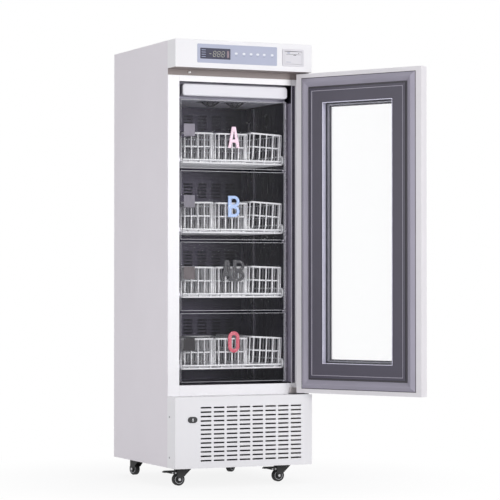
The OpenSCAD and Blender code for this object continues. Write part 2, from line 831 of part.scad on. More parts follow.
module door_frame() color("white") door_pose() difference() {
    strike_gap = 2;
    block([-door_x, door_face, door_z0], [door_x, door_back, door_z1]);
    window(glass_w, glass_h, door_face - cut, door_back + cut);
    window(glass_w + 2 * rebate, glass_h + 2 * rebate, door_face + lip_t, door_back + cut);
    for (z = [door_z0 - cut, door_z1 - hinge_reach])
        z_bar([pin_x, pin_y, z], hinge_reach + cut, pin_r + run_gap);
    z_bar([bolt_x, bolt_y, door_z0 - cut], bolt_lift + 2 * strike_gap, bolt_r + strike_gap);
}

// Raised inner frame with a step, and a reveal that slopes to the glass
module door_liner() color("dimgray") door_pose() {
    outer_w = 2 * (door_x - gasket_side - gasket_w - seam);
    outer_h = door_z1 - door_z0 - 2 * (gasket_end + gasket_w + seam);
    top = door_back + door_liner_h;
    wide_w = glass_w + 2 * reveal_w;
    wide_h = glass_h + 2 * reveal_w;
    insert_w = glass_w + 2 * (rebate - seam);
    insert_h = glass_h + 2 * (rebate - seam);
    step = 3;
    step_w = 46;
    skin = 0.01;
    difference() {
        union() {
            window(outer_w, outer_h, door_back + seam, top);
            window(insert_w, insert_h, glass_back + seam, top - cut);
        }
        window(wide_w + step_w, wide_h + step_w, top - step, top + cut);
        hull() {
            window(glass_w, glass_h, glass_back, glass_back + skin);
            window(wide_w, wide_h, top - step + skin, top - step + 2 * skin);
        }
    }
}

// Square ring with a groove along its seat
module door_gasket() color("lightgray") door_pose() difference() {
    w = 2 * (door_x - gasket_side);
    h = door_z1 - door_z0 - 2 * gasket_end;
    top = door_back + gasket_t;
    groove_w = 5;
    groove_d = 4;
    window(w, h, door_back, top);
    window(w - 2 * gasket_w, h - 2 * gasket_w, door_back - cut, top + cut);
    difference() {
        window(w - gasket_w + groove_w, h - gasket_w + groove_w, top - groove_d, top + cut);
        window(w - gasket_w - groove_w, h - gasket_w - groove_w, door_back, top + 2 * cut);
    }
}

// Sealed unit: two panes with a spacer frame between them
module door_glass() color("lightcyan", 0.4) door_pose() {
    w = glass_w + 2 * (rebate - seam);
    h = glass_h + 2 * (rebate - seam);
    y0 = door_face + lip_t;
    spacer_w = 10;
    window(w, h, y0 + seam, y0 + pane_t);
    window(w, h, y0 + pane_t + pane_space, y0 + unit_t);
    difference() {
        window(w, h, y0 + pane_t + seam, y0 + pane_t + pane_space - seam);
        window(w - 2 * spacer_w, h - 2 * spacer_w, y0, y0 + unit_t);
    }
}

// Upright bar handle on two posts, near the free edge of the outer face
module door_handle() color("silver") door_pose() {
    x = -door_x + handle_side;
    y = door_face - handle_gap - handle_r;
    post_z = handle_l / 2 - handle_post_in;
    z_bar([x, y, door_mid_z - handle_l / 2], handle_l, handle_r);
    for (s = [-1, 1]) y_bar([x, y, door_mid_z + s * post_z], handle_gap + handle_r - seam, handle_post_r);
}

// Plates on the ledge and under the head, with the pins that the door turns on
module door_hinges() color("dimgray") {
    end_gap = 3;
    x0 = pin_x + pin_side - hinge_plate[0];
    y0 = pin_y - pin_face - 2;
    pin_l = hinge_reach - end_gap + door_gap - hinge_t + cut;
    at = [x0, y0, 0];
    for (z = [z_kick, z_head - hinge_t])
        block(at + [0, 0, z], at + [hinge_plate[0], hinge_plate[1], z + hinge_t]);
    z_bar([pin_x, pin_y, z_kick + hinge_t - cut], pin_l, pin_r);
    z_bar([pin_x, pin_y, z_head - hinge_t + cut - pin_l], pin_l, pin_r);
}

// Open wire basket: bottom, front, back and two sides, each a flat grille
module basket(w, d, h) {
    s = wire_t + seam;
    across = 5;
    along = 11;
    translate([-w / 2, 0, 0]) grille(w, d, across, along);
    for (y = [0, d - wire_t])
        translate([-w / 2, y + wire_t, s]) rotate([90, 0, 0]) grille(w, h - s, across, 2);
    for (x = [-w / 2, w / 2 - wire_t])
        translate([x, s, s]) rotate([90, 0, 90]) grille(d - 2 * s, h - s, along, 2);
}

// Angle in front of the right-hand runner, with two lugs for the clear front's pins
module front_bracket(i) {
    y0 = pivot_y - lug_w / 2;
    low = clear_z(i) - slide_gap - lug_t;
    high = clear_z(i) + clear_h + slide_gap;
    foot_z = tray_z(i) + runner_z;
    difference() {
        union() {
            block([web_x, y0, low], [web_x + web_t, drawer_y0 - slide_gap, high + lug_t]);
            block([web_x, y0, foot_z], [web_x + web_t, drawer_y0 - seam, foot_z + runner_h]);
            for (z = [low, high]) block([pivot_x - pivot_in, y0, z], [web_x + cut, y0 + lug_w, z + lug_t]);
        }
        z_bar([pivot_x, pivot_y, low - cut], high - low + lug_t + 2 * cut, pivot_r + run_gap);
    }
}

// Tray with two lips and runner bars, the bracket of its clear front, and its baskets
module drawer(i) color("white") {
    seat = wire_t + seam;
    translate([0, drawer_y0, tray_z(i)]) {
        translate([-tray_w / 2, 0, 0]) grille(tray_w, drawer_d, 12, 4);
        for (x = [-tray_w / 2, tray_w / 2 - wire_t])
            translate([x, 0, seat]) rotate([90, 0, 90]) grille(drawer_d, lip_h, 8, 1);
        for (c = [0:baskets - 1])
            translate([(c - (baskets - 1) / 2) * (basket_w + basket_gap), wire_t, seat])
                basket(basket_w, drawer_d - 2 * wire_t, basket_h);
        both_sides() block([runner_x, 0, runner_z], [runner_x + runner_w, drawer_d, runner_z + runner_h]);
    }
    front_bracket(i);
}

module clear_front(i) color("aliceblue", 0.3) {
    block([clear_x0, clear_y, clear_z(i)], [clear_x1, clear_y + clear_t, clear_z(i) + clear_h]);
    z_bar([pivot_x, pivot_y, clear_z(i) - lug_t], clear_h + 2 * lug_t, pivot_r);
}

// Folded plate that stands off the clear front, open to the left
module front_pull(i) color("silver") {
    x0 = clear_x0 + 5;
    x1 = x0 + pull_w;
    y0 = clear_y - pull_d;
    y1 = clear_y - seam;
    z0 = clear_z(i) + clear_h / 2 + pull_rise - pull_h / 2;
    z1 = z0 + pull_h;
    block([x0, y0, z0], [x1, y0 + pull_t, z1]);
    block([x1 - pull_t, y0, z0], [x1, y1, z1]);
    block([x1 - pull_foot, clear_y - pull_t, z0], [x1, y1, z1]);
}

// Letters drawn in a cell of one width and the sign's height
module letter_a() difference() {
    top = sign_w / 3;
    lean = (sign_w - top) / 2;
    run = 0.85 * stroke;
    bar_z = sign_h / 4;
    eye_z = bar_z + run;
    foot_x = run + lean * bar_z / sign_h;
    eye_x = run + lean * eye_z / sign_h;
    polygon([[0, 0], [lean, sign_h], [lean + top, sign_h], [sign_w, 0], [sign_w - run, 0],
             [sign_w - foot_x, bar_z], [foot_x, bar_z], [run, 0]]);
    polygon([[eye_x, eye_z], [sign_w - eye_x, eye_z], [sign_w / 2, sign_h - stroke]]);
}

module letter_b() {
    r = sign_h / 4 + stroke / 8;
    inner = r - 0.8 * stroke;
    bowl_x = sign_w - r;
    difference() {
        union() {
            square([bowl_x, sign_h]);
            for (z = [r, sign_h - r]) translate([bowl_x, z]) circle(r);
        }
        for (z = [r, sign_h - r]) {
            translate([stroke, z - inner]) square([bowl_x - stroke, 2 * inner]);
            translate([bowl_x, z]) circle(inner);
        }
    }
}

module letter_o() difference() {
    r = sign_w / 2 - seam;
    round_rect(sign_w, sign_h, r);
    translate([stroke, stroke]) round_rect(sign_w - 2 * stroke, sign_h - 2 * stroke, r - stroke);
}

// Stand a flat letter against the baskets' fronts, centred at x
module stand_sign(i, x) {
    translate([x - sign_w / 2, drawer_y0 - seam, tray_z(i) + sign_lift])
        rotate([90, 0, 0]) linear_extrude(sign_t) children();
}

// Signs stand a little to the right of the middle; a pair has a narrow gap
sign_x = 4;
pair_pitch = sign_w + 2;
module sign_a() color("lightpink") stand_sign(1, sign_x) letter_a();
module sign_b() color("lightblue") stand_sign(2, sign_x) letter_b();
module sign_ab() color("dimgray") {
    stand_sign(3, -pair_pitch / 2) letter_a();
    stand_sign(3, pair_pitch / 2) letter_b();
}
module sign_o() color("indianred") stand_sign(4, sign_x) letter_o();

// Place one caster on its swivel axis; its wheel trails along local -X
module caster_pose(i) {
    at = caster_at[i - 1];
    translate([at[0], at[1], 0]) rotate([0, 0, caster_turn[i - 1]]) children();
}

// Top plates with king pins and their nuts
module caster_plates() color("gray") for (at = caster_at) translate([at[0], at[1], 0]) difference() {
    half = plate_w / 2;
    nut_z = disc_z0 - close_gap - nut_t;
    union() {
        block([-half, -half, z_base - plate_t], [half, half, z_base]);
        z_bar([0, 0, nut_z], z_base - cut - nut_z, king_r);
        z_bar([0, 0, nut_z], nut_t, nut_r);
    }
    for (i = [-1, 1], j = [-1, 1])
        z_bar([i * plate_bolt, j * plate_bolt, z_base - plate_t - cut], plate_t + 2 * cut, bolt_hole_r);
}

// Caster bolts with hexagon heads and nuts, and the screws of the kick panel's returns
module screws() color("gray") {
    head_z = z_base - plate_t - hex_t;
    shank_l = plate_t + base_t + hex_t;
    for (at = caster_at, i = [-1, 1], j = [-1, 1])
        translate([at[0] + i * plate_bolt, at[1] + j * plate_bolt, 0]) {
            z_bar([0, 0, head_z + cut], shank_l + hex_t, bolt_hole_r - bolt_gap);
            translate([0, 0, head_z]) cylinder(h = hex_t, r = hex_r, $fn = 6);
            translate([0, 0, bay_z]) cylinder(h = hex_t, r = hex_r, $fn = 6);
        }
    side_screw = [1.5, 4];
    side_back = 60;
    low_z = z_base + 42;
    high_z = z_kick - 80;
    both_sides() for (z = [low_z, high_z])
        x_bar([side_x, y_front + side_back, z], side_screw[0], side_screw[1]);
}

// Disc under the top plate with two arms down to the axle
module caster_fork(i) color("black") caster_pose(i) difference() {
    side_y = arm_y + arm_t;
    bridge = [-disc_r + 4, disc_r - 8];
    bridge_z = disc_z0 + disc_t / 2;
    union() {
        z_bar([0, 0, disc_z0], disc_t, disc_r);
        block([bridge[0], -side_y, disc_z0], [bridge[1], side_y, bridge_z]);
        for (y = [-arm_y, side_y]) translate([0, y, 0]) rotate([90, 0, 0]) linear_extrude(arm_t) {
            polygon([[-trail - boss_r, wheel_r], [-trail + boss_r, wheel_r - boss_r / 3],
                     [bridge[1], bridge_z], [bridge[0], bridge_z], [-trail - boss_r + 2, disc_z0 - 4]]);
            translate([-trail, wheel_r]) circle(boss_r);
        }
        y_bar([-trail, -side_y - axle_end, wheel_r], 2 * (side_y + axle_end), axle_r);
    }
    z_bar([0, 0, disc_z0 - cut], disc_t + 2 * cut, king_r + run_gap);
    y_bar([pedal_pivot[0], -side_y - cut, pedal_pivot[1]], 2 * (side_y + cut), pedal_r + run_gap);
}

// Wheel with a rounded tread and a hub that runs between the arms
module caster_wheel(i) color("black") caster_pose(i) translate([-trail, 0, wheel_r]) rotate([90, 0, 0])
    rotate_extrude() difference() {
        half = wheel_w / 2;
        hub = [boss_r, 2 * (arm_y - slide_gap)];
        union() {
            translate([0, -half]) square([wheel_r - tread_r, wheel_w]);
            translate([0, -half + tread_r]) square([wheel_r, wheel_w - 2 * tread_r]);
            for (y = [-1, 1]) translate([wheel_r - tread_r, y * (half - tread_r)]) circle(tread_r);
            translate([0, -hub[1] / 2]) square(hub);
        }
        translate([-cut, -wheel_w]) square([axle_r + run_gap + cut, 2 * wheel_w]);
    }

// Lever between the fork's arms, with its pivot pin and a tread beyond the wheel
module brake_pedal(i) color("black") caster_pose(i) {
    w = 2 * (arm_y - slide_gap);
    x = pedal_pivot[0];
    z = pedal_pivot[1];
    tread_x = x - pedal_l - 4;
    tread_z = z - pedal_t / 2 - pedal_lip;
    y_bar([x, -arm_y - arm_t, z], 2 * (arm_y + arm_t), pedal_r);
    block([x - pedal_l, -w / 2, z - pedal_t / 2], [x + pedal_r, w / 2, z + pedal_t / 2]);
    block([tread_x, -w / 2, tread_z], [tread_x + pedal_tread, w / 2, tread_z + pedal_t]);
}

outer_shell();
back_panel();
insulation();
inner_liner();
front_frame();
switch_rail();
switch_plunger();
duct_panel();
drawer_rails();
evaporator_cover();
lamp_cover();
head_cover();
control_panel();
display_window();
printer_body();
printer_cover();
base_plate();
kick_panel();
lock_bezel();
lock_barrel();
lock_bolt();
compressor();
condenser();
condenser_fan();
door_hinges();
door_frame();
door_liner();
door_gasket();
door_glass();
door_handle();
sign_a();
sign_b();
sign_ab();
sign_o();
caster_plates();
screws();
for (i = [1:2]) evaporator_fan(i);
for (i = [1:drawers]) drawer(i);
for (i = [1:drawers]) clear_front(i);
for (i = [1:drawers]) front_pull(i);
for (i = [1:4]) caster_fork(i);
for (i = [1:4]) caster_wheel(i);
for (i = [1:2]) brake_pedal(i);
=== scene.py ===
# %% [markdown]
# An upright blood bank refrigerator with its glazed door standing open: a white steel cabinet, a
# polished cavity with four wire drawers, a head with controls, a slotted kick panel and four casters.
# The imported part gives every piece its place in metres. Here each piece gets rounded edges, its real
# wire, rubber and glass, and a finish made from nodes.

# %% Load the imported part
import json
import math

import bmesh
import bpy
from mathutils import Matrix, Vector

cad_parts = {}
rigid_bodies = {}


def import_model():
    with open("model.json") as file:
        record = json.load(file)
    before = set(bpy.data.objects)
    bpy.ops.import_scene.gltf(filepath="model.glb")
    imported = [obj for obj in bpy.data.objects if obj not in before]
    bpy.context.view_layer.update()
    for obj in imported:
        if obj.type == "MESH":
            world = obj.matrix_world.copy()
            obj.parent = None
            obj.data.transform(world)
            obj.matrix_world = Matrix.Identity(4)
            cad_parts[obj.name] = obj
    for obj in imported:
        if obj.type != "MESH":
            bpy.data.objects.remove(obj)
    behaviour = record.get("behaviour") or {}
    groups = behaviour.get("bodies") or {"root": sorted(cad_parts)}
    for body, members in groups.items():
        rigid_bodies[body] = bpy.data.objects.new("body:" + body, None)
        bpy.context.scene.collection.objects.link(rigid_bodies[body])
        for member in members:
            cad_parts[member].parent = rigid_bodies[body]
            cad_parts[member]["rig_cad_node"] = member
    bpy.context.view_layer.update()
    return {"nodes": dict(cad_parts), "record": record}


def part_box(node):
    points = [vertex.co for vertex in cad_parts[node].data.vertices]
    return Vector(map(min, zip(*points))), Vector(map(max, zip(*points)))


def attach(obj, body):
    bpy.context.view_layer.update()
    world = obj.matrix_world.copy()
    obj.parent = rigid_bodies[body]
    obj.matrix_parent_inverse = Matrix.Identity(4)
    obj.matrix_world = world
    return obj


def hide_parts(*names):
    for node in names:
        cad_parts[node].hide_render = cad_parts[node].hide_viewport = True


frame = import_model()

# %% [markdown]
# The camera comes first, because everything after it is judged through it. It stands to the left of
# the cabinet, a little under the middle of its height, far away with a long lens, so that the upright
# edges stay almost parallel. A nearer camera with a shorter lens would make the head look too big.

# %% Camera
bpy.ops.object.select_all(action="DESELECT")
bpy.ops.object.camera_add(
    location=(-3.5258, -8.1631, 0.8206),
    rotation=(math.radians(90.812), 0, math.radians(-24.405)),
)
camera = bpy.context.object
camera.name = "front_left_camera"
camera.data.sensor_width = 36
camera.data.lens = 154.22
camera.data.clip_end = 100
bpy.context.scene.camera = camera
print("camera at", tuple(camera.location), "lens", camera.data.lens)

# %% [markdown]
# A product picture is lit by big soft boxes. One large area lamp stands in front on the right, so that
# the front is bright. A second one stands on the left: the left side and the inner face of the open door
# look that way, and both come out a step darker than the front. Two more, behind on the right and
# overhead, serve the sides that this camera doesn't see. The world adds even light from all round. Rays from
# the camera, and rays that metal or glass send on, see a plain white world, while the light on the object
# stays at its own lower level.

# %% Lamps and world
bpy.context.scene.view_settings.view_transform = "Standard"
aim = Vector((0.0, -0.2, 0.9))


def soft_box(name, place, wide, watts):
    bpy.ops.object.select_all(action="DESELECT")
    turn = (aim - Vector(place)).to_track_quat("-Z", "Y").to_euler()
    bpy.ops.object.light_add(type="AREA", location=place, rotation=turn)
    lamp = bpy.context.object
    lamp.name = name
    lamp.data.size = wide
    lamp.data.energy = watts
    print(name, "at", place, "with", watts, "W")


soft_box("right_soft_box", (1.9, -5.5, 1.95), 2.6, 149)
soft_box("left_soft_box", (-5.0, -1.2, 1.5), 2.6, 76)
soft_box("back_soft_box", (3.6, 4.2, 1.8), 2.6, 120)
soft_box("top_soft_box", (0.0, 0.1, 5.0), 2.0, 22)


def node(tree, kind, inputs=(), **settings):
    """A new node: its settings by name, and each input given a value or joined to another node."""
    made = tree.nodes.new("ShaderNode" + kind)
    for name, value in settings.items():
        setattr(made, name, value)
    for socket, value in inputs:
        if isinstance(value, bpy.types.NodeSocket):
            tree.links.new(value, made.inputs[socket])
        else:
            made.inputs[socket].default_value = value
    return made


def seen_directly(tree):
    """1 for rays from the camera, from gloss and through glass, and 0 for rays that carry light."""
    path = node(tree, "LightPath")
    either = path.outputs["Is Camera Ray"]
    for other in ("Is Glossy Ray", "Is Transmission Ray"):
        either = node(tree, "Math", ((0, either), (1, path.outputs[other])), operation="MAXIMUM").outputs[0]
    return either


world = bpy.data.worlds.new("white_studio")
world.use_nodes = True
bpy.context.scene.world = world
room = world.node_tree
room.nodes.clear()
room_light = node(room, "Background", (("Color", (0.97, 0.97, 1.0, 1)), ("Strength", 0.32)))
room_seen = node(room, "Background", (("Color", (1, 1, 1, 1)), ("Strength", 1.0)))
room_mix = node(room, "MixShader", ((0, seen_directly(room)), (1, room_light.outputs[0]), (2, room_seen.outputs[0])))
node(room, "OutputWorld", ((0, room_mix.outputs[0]),))
print("world: light", room_light.inputs["Strength"].default_value, "seen as white")

# %% [markdown]
# The floor is a wide pale sheet. Seen directly, it fades to plain white away from the object, as in a
# cut-out picture, and near the object a share of ordinary matt paint keeps the soft shadow.

# %% Floor
bpy.ops.object.select_all(action="DESELECT")
bpy.ops.mesh.primitive_plane_add(size=60, location=(0, 0, -0.0005))
floor = bpy.context.object
floor.name = "studio_floor"
floor_paint = bpy.data.materials.new("pale_floor")
floor_paint.use_nodes = True
ground = floor_paint.node_tree
ground.nodes.clear()
floor_matt = node(ground, "BsdfDiffuse", (("Color", (0.86, 0.86, 0.87, 1)),)).outputs[0]
floor_white = node(ground, "Emission").outputs[0]
floor_place = node(ground, "TexCoord").outputs["Object"]
floor_reach = node(ground, "VectorMath", ((0, floor_place),), operation="LENGTH").outputs["Value"]
floor_fade = node(ground, "MapRange", (("Value", floor_reach), ("From Min", 0.3), ("From Max", 1.3),
                                       ("To Min", 0.87), ("To Max", 1.0)), interpolation_type="SMOOTHSTEP").outputs[0]
floor_share = node(ground, "MixShader", ((0, floor_fade), (1, floor_matt), (2, floor_white))).outputs[0]
floor_mix = node(ground, "MixShader", ((0, seen_directly(ground)), (1, floor_matt), (2, floor_share))).outputs[0]
node(ground, "OutputMaterial", ((0, floor_mix),))
floor.data.materials.append(floor_paint)
print("floor", floor.dimensions[0], "m wide")

# %% [markdown]
# Most finishes on the object are one idea with other numbers: a colour that drifts a little over the
# surface, a gloss that drifts with it, and a fine grain that bends the light. All three come from noise
# in Object coordinates, so the grain has the same size on every piece. Long thin streaks, as on brushed
# steel, come from stretching the same noise along one axis.

# %% Building blocks for finishes
def tone(red, green, blue):
    """A colour from its everyday 0 to 255 values, as the renderer wants it."""
    def straight(value):
        value = value / 255
        return value / 12.92 if value <= 0.04045 else ((value + 0.055) / 1.055) ** 2.4
    return (straight(red), straight(green), straight(blue), 1.0)


def speckle(tree, grain, stretch):
    """Noise in Object coordinates with so many grains to the metre."""
    place = node(tree, "TexCoord").outputs["Object"]
    scaled = node(tree, "Mapping", (("Vector", place), ("Scale", stretch))).outputs["Vector"]
    return node(tree, "TexNoise", (("Vector", scaled), ("Scale", grain), ("Detail", 3.0))).outputs[0]


def between(tree, pattern, low, high):
    """A number that follows a pattern from low to high."""
    ends = (("From Min", 0.3), ("From Max", 0.7), ("To Min", low), ("To Max", high))
    return node(tree, "MapRange", (("Value", pattern), *ends)).outputs[0]


def mixed(tree, pattern, first, second):
    """A colour that follows a pattern from the first colour to the second."""
    return node(tree, "Mix", ((0, pattern), (6, first), (7, second)), data_type="RGBA").outputs[2]


def grained(tree, pattern, depth):
    """A surface normal that a pattern of that depth in metres bends."""
    return node(tree, "Bump", (("Strength", 1.0), ("Distance", depth), ("Height", pattern))).outputs[0]


def shade(colour, by):
    return tuple(min(1.0, c * by) for c in colour[:3]) + (1.0,)


def finish(name, colour, rough, metal=0.0, drift=0.05, patch=5.0, grain=600.0, depth=0.0001,
           stretch=(1, 1, 1), gloss_drift=0.07, coat=0.0, specular=0.5):
    made = bpy.data.materials.new(name)
    made.use_nodes = True
    tree = made.node_tree
    shader = tree.nodes["Principled BSDF"]
    shader.inputs["Metallic"].default_value = metal
    shader.inputs["Specular IOR Level"].default_value = specular
    shader.inputs["Coat Weight"].default_value = coat
    shader.inputs["Coat Roughness"].default_value = 0.12
    patches = between(tree, speckle(tree, patch, stretch), 0, 1)
    grains = speckle(tree, grain, stretch)
    tree.links.new(mixed(tree, patches, shade(colour, 1 - drift), shade(colour, 1 + drift)),
                   shader.inputs["Base Color"])
    tree.links.new(between(tree, grains, rough - gloss_drift, rough + gloss_drift),
                   shader.inputs["Roughness"])
    tree.links.new(grained(tree, grains, depth), shader.inputs["Normal"])
    return made


print("finish helpers ready")

# %% [markdown]
# The cabinet is folded sheet steel with a baked powder coat: satin, with the faint orange peel that the
# powder leaves as it melts. Plain paint would shine too evenly. The front frame and the door frame are
# smoother, so they get a finer, shallower grain and a little more gloss.

# %% Painted and plastic finishes
shell_white = finish("shell_powder_coat", tone(233, 228, 234), 0.42, drift=0.012, grain=420, depth=0.00012)
head_white = finish("head_powder_coat", tone(240, 239, 242), 0.38, drift=0.01, grain=420, depth=0.0001)
frame_white = finish("frame_gloss_white", tone(249, 248, 251), 0.3, drift=0.01, grain=300, depth=0.00005)
door_white = finish("door_satin_white", tone(231, 228, 232), 0.34, drift=0.012, grain=380, depth=0.00006)
# Taupe grey of the switch rail, made darker as painted shade where the head overhangs it; the head's underside gets it
# as painted shade too.
rail_taupe_painted_shade = finish("switch_rail_taupe", tone(146, 135, 133), 0.48, drift=0.05, grain=500, depth=0.00008)
panel_blue = finish("membrane_blue", tone(178, 183, 206), 0.46, drift=0.03, grain=900, depth=0.00004)
display_dark = finish("display_smoke", tone(76, 76, 92), 0.5, drift=0.05, grain=60, depth=0.00002, specular=0.2)
printer_grey = finish("printer_plastic", tone(224, 222, 228), 0.46, drift=0.015, grain=1100, depth=0.00006)
base_grey = finish("base_paint", tone(112, 112, 116), 0.5, drift=0.06, grain=350, depth=0.00015)
black_plastic = finish("black_moulding", tone(30, 30, 33), 0.46, drift=0.12, grain=900, depth=0.00006)
black_paint = finish("compressor_enamel", tone(34, 34, 37), 0.32, drift=0.12, grain=260, depth=0.0002)
hinge_grey = finish("hinge_paint", tone(92, 90, 94), 0.42, drift=0.07, grain=500, depth=0.0001)
block_grey = finish("hinge_block_paint", tone(190, 184, 184), 0.42, drift=0.04, grain=500, depth=0.0001)
door_slate = finish("door_slate_plastic", tone(72, 68, 83), 0.34, drift=0.05, grain=700, depth=0.00004, specular=0.3)
gasket_grey = finish("gasket_rubber", tone(164, 160, 174), 0.46, drift=0.03, grain=800, depth=0.00006, specular=0.15)
# A light band on the slate frame's step: painted highlight.
slate_painted_highlight = finish("slate_painted_highlight_plastic", tone(158, 154, 168), 0.34, drift=0.04, grain=700, depth=0.00004)
# Black of real seals and sealant, also used as painted shade: the contact line round the gasket, the slate frame's
# outer groove and the glazing bead's outer band.
seal_black_and_painted_shade = finish("dark_seal_and_painted_shade", tone(44, 41, 50), 0.5, drift=0.1, grain=700, depth=0.00005)
wire_white = finish("dipped_wire", tone(250, 250, 253), 0.26, drift=0.02, grain=140, depth=0.0003, coat=0.3)
caster_black = finish("caster_enamel", tone(16, 16, 17), 0.5, drift=0.14, grain=400, depth=0.0001)
wheel_black = finish("wheel_rubber", tone(16, 16, 17), 0.7, drift=0.15, grain=500, depth=0.00025)
plunger_white = finish("plunger_nylon", tone(246, 246, 246), 0.3, drift=0.02, grain=500, depth=0.00003)
lamp_white = finish("lamp_diffuser", tone(235, 234, 241), 0.4, drift=0.01, grain=700, depth=0.00003)
sign_pink = finish("sign_acrylic_pink", tone(240, 200, 222), 0.24, drift=0.02, grain=40, depth=0.00002, coat=0.2)
sign_blue = finish("sign_acrylic_blue", tone(146, 178, 232), 0.24, drift=0.02, grain=40, depth=0.00002, coat=0.1)
sign_grey = finish("sign_acrylic_grey", tone(50, 49, 56), 0.34, drift=0.05, grain=40, depth=0.00002, specular=0.3)
sign_red = finish("sign_acrylic_red", tone(214, 78, 104), 0.16, drift=0.03, grain=40, depth=0.00002, coat=0.5)
foam_yellow = finish("rigid_foam", tone(226, 206, 150), 0.85, drift=0.12, patch=40, grain=350, depth=0.0012)
print("painted and plastic finishes:", len(bpy.data.materials))

# %% [markdown]
# The cavity is polished stainless sheet. In the picture it looks dark, because it mirrors a dark room,
# so its own colour is set dark here and it keeps a soft mirror. Rolling leaves streaks along the sheet:
# the noise is stretched along the height on the walls. Plated and brushed parts are the same idea, paler.

# %% Metal finishes
liner_steel = finish("cavity_steel", tone(64, 60, 74), 0.3, metal=0.8, drift=0.1, patch=3, grain=200,
                     depth=0.000004, stretch=(1, 1, 0.05), gloss_drift=0.04)
duct_steel = finish("duct_steel", tone(46, 43, 54), 0.4, metal=0.75, drift=0.06, patch=3, grain=200,
                    depth=0.000004, stretch=(0.05, 1, 1), gloss_drift=0.04)
cover_steel = finish("evaporator_steel", tone(96, 94, 106), 0.4, metal=0.4, drift=0.08, patch=4, grain=260,
                     depth=0.000006, stretch=(0.06, 1, 1), gloss_drift=0.06)
# Pale paint for the evaporator's underside: a painted reflection of the bright room below in polished steel.
pale_painted_reflection = finish("underside_painted_reflection", tone(226, 225, 236), 0.4, drift=0.05, patch=8, grain=500, depth=0.00004)
rail_steel = finish("rail_steel", tone(150, 147, 156), 0.28, metal=0.9, drift=0.08, patch=6, grain=320,
                    depth=0.00002, stretch=(1, 0.05, 0.05))
# Four shaded copies of one brushed steel, one for each pull, front_pull_1 lightest and front_pull_4 darkest: painted
# shade.
pull_steel = [finish(f"pull_painted_shade_steel_{i}", tone(*colour), 0.5, metal=0.45, drift=0.12, patch=90, grain=900,
                     depth=0.00003, stretch=(1, 1, 0.3))
              for i, colour in enumerate(((112, 108, 118), (106, 103, 112), (88, 82, 85), (44, 42, 46)), 1)]
handle_steel = finish("handle_brushed_steel", tone(190, 189, 194), 0.28, metal=1.0, drift=0.06, patch=20, grain=900,
                      depth=0.00002, stretch=(1, 1, 0.03))
zinc_steel = finish("zinc_plate", tone(168, 168, 172), 0.34, metal=0.9, drift=0.1, patch=60, grain=500, depth=0.00004)
lock_silver = finish("lock_chrome", tone(206, 206, 210), 0.16, metal=1.0, drift=0.05, patch=60, grain=500,
                     depth=0.00001)
fin_metal = finish("condenser_fin", tone(84, 84, 88), 0.46, metal=0.8, drift=0.1, patch=30, grain=600, depth=0.00005,
                   stretch=(1, 1, 0.1))
spacer_metal = finish("glass_spacer", tone(204, 202, 220), 0.3, metal=0.2, drift=0.05, patch=30, grain=700,
                      depth=0.00002)
dark_steel = finish("blackened_steel", tone(52, 51, 55), 0.4, metal=0.7, drift=0.1, patch=60, grain=500, depth=0.00004)
jamb_steel = finish("jamb_steel", tone(182, 176, 194), 0.34, metal=0.5, drift=0.1, patch=5, grain=200,
                    depth=0.000004, stretch=(1, 1, 0.05), gloss_drift=0.04)
print("metal finishes made, materials now:", len(bpy.data.materials))

# %% [markdown]
# Clear sheet is made from an alpha, not from refraction: the thin panes hardly bend what stands behind
# them and light passes. The polished edge of the acrylic shows as a brighter line because its finish is paler and
# less clear: a painted highlight. A pane of full refraction would look much the same and need far more samples.

# %% Clear finishes
def clear_sheet(name, colour, alpha, rough):
    made = finish(name, colour, rough, drift=0.02, patch=2.5, grain=18, depth=0.00002, gloss_drift=0.02)
    made.node_tree.nodes["Principled BSDF"].inputs["Alpha"].default_value = alpha
    return made


clear_acrylic = clear_sheet("clear_acrylic", tone(236, 238, 246), 0.012, 0.06)
# Paler, less clear rim and edge on the acrylic: painted highlight.
clear_rim_painted_highlight = clear_sheet("clear_acrylic_rim_highlight", tone(240, 240, 248), 0.26, 0.2)
clear_edge_painted_highlight = clear_sheet("clear_acrylic_edge_highlight", tone(246, 246, 252), 0.8, 0.2)
window_glass = clear_sheet("window_glass", tone(236, 240, 248), 0.025, 0.04)
glass_edge = clear_sheet("window_glass_edge", tone(150, 149, 160), 0.85, 0.2)
print("clear finishes made")

# %% [markdown]
# Sheet metal and mouldings never have razor edges, and a rounded edge catches a thin line of light. A
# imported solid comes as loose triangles, so a copy is merged, its flat faces are made whole again, and a
# Bevel modifier rounds every sharp edge. Drawing each plate again from a cube would give the same shape.
# Smooth shading then bends the light on the big flats next to a rounding, so weighted normals follow, which
# let the largest face at each corner decide.

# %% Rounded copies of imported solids
def only(piece):
    bpy.ops.object.select_all(action="DESELECT")
    piece.select_set(True)
    bpy.context.view_layer.objects.active = piece


def round_edges(piece, width, steps=2, angle=30):
    only(piece)
    soft = piece.modifiers.new("rounded", "BEVEL")
    soft.width = width
    soft.segments = steps
    soft.limit_method = "ANGLE"
    soft.angle_limit = math.radians(angle)
    bpy.ops.object.modifier_apply(modifier=soft.name)
    bpy.ops.object.shade_smooth_by_angle(angle=math.radians(40))
    calm = piece.modifiers.new("calm_flats", "WEIGHTED_NORMAL")
    calm.keep_sharp = True
    bpy.ops.object.modifier_apply(modifier=calm.name)


def body_of(node):
    return next(body for body, nodes in frame["record"]["behaviour"]["bodies"].items() if node in nodes)


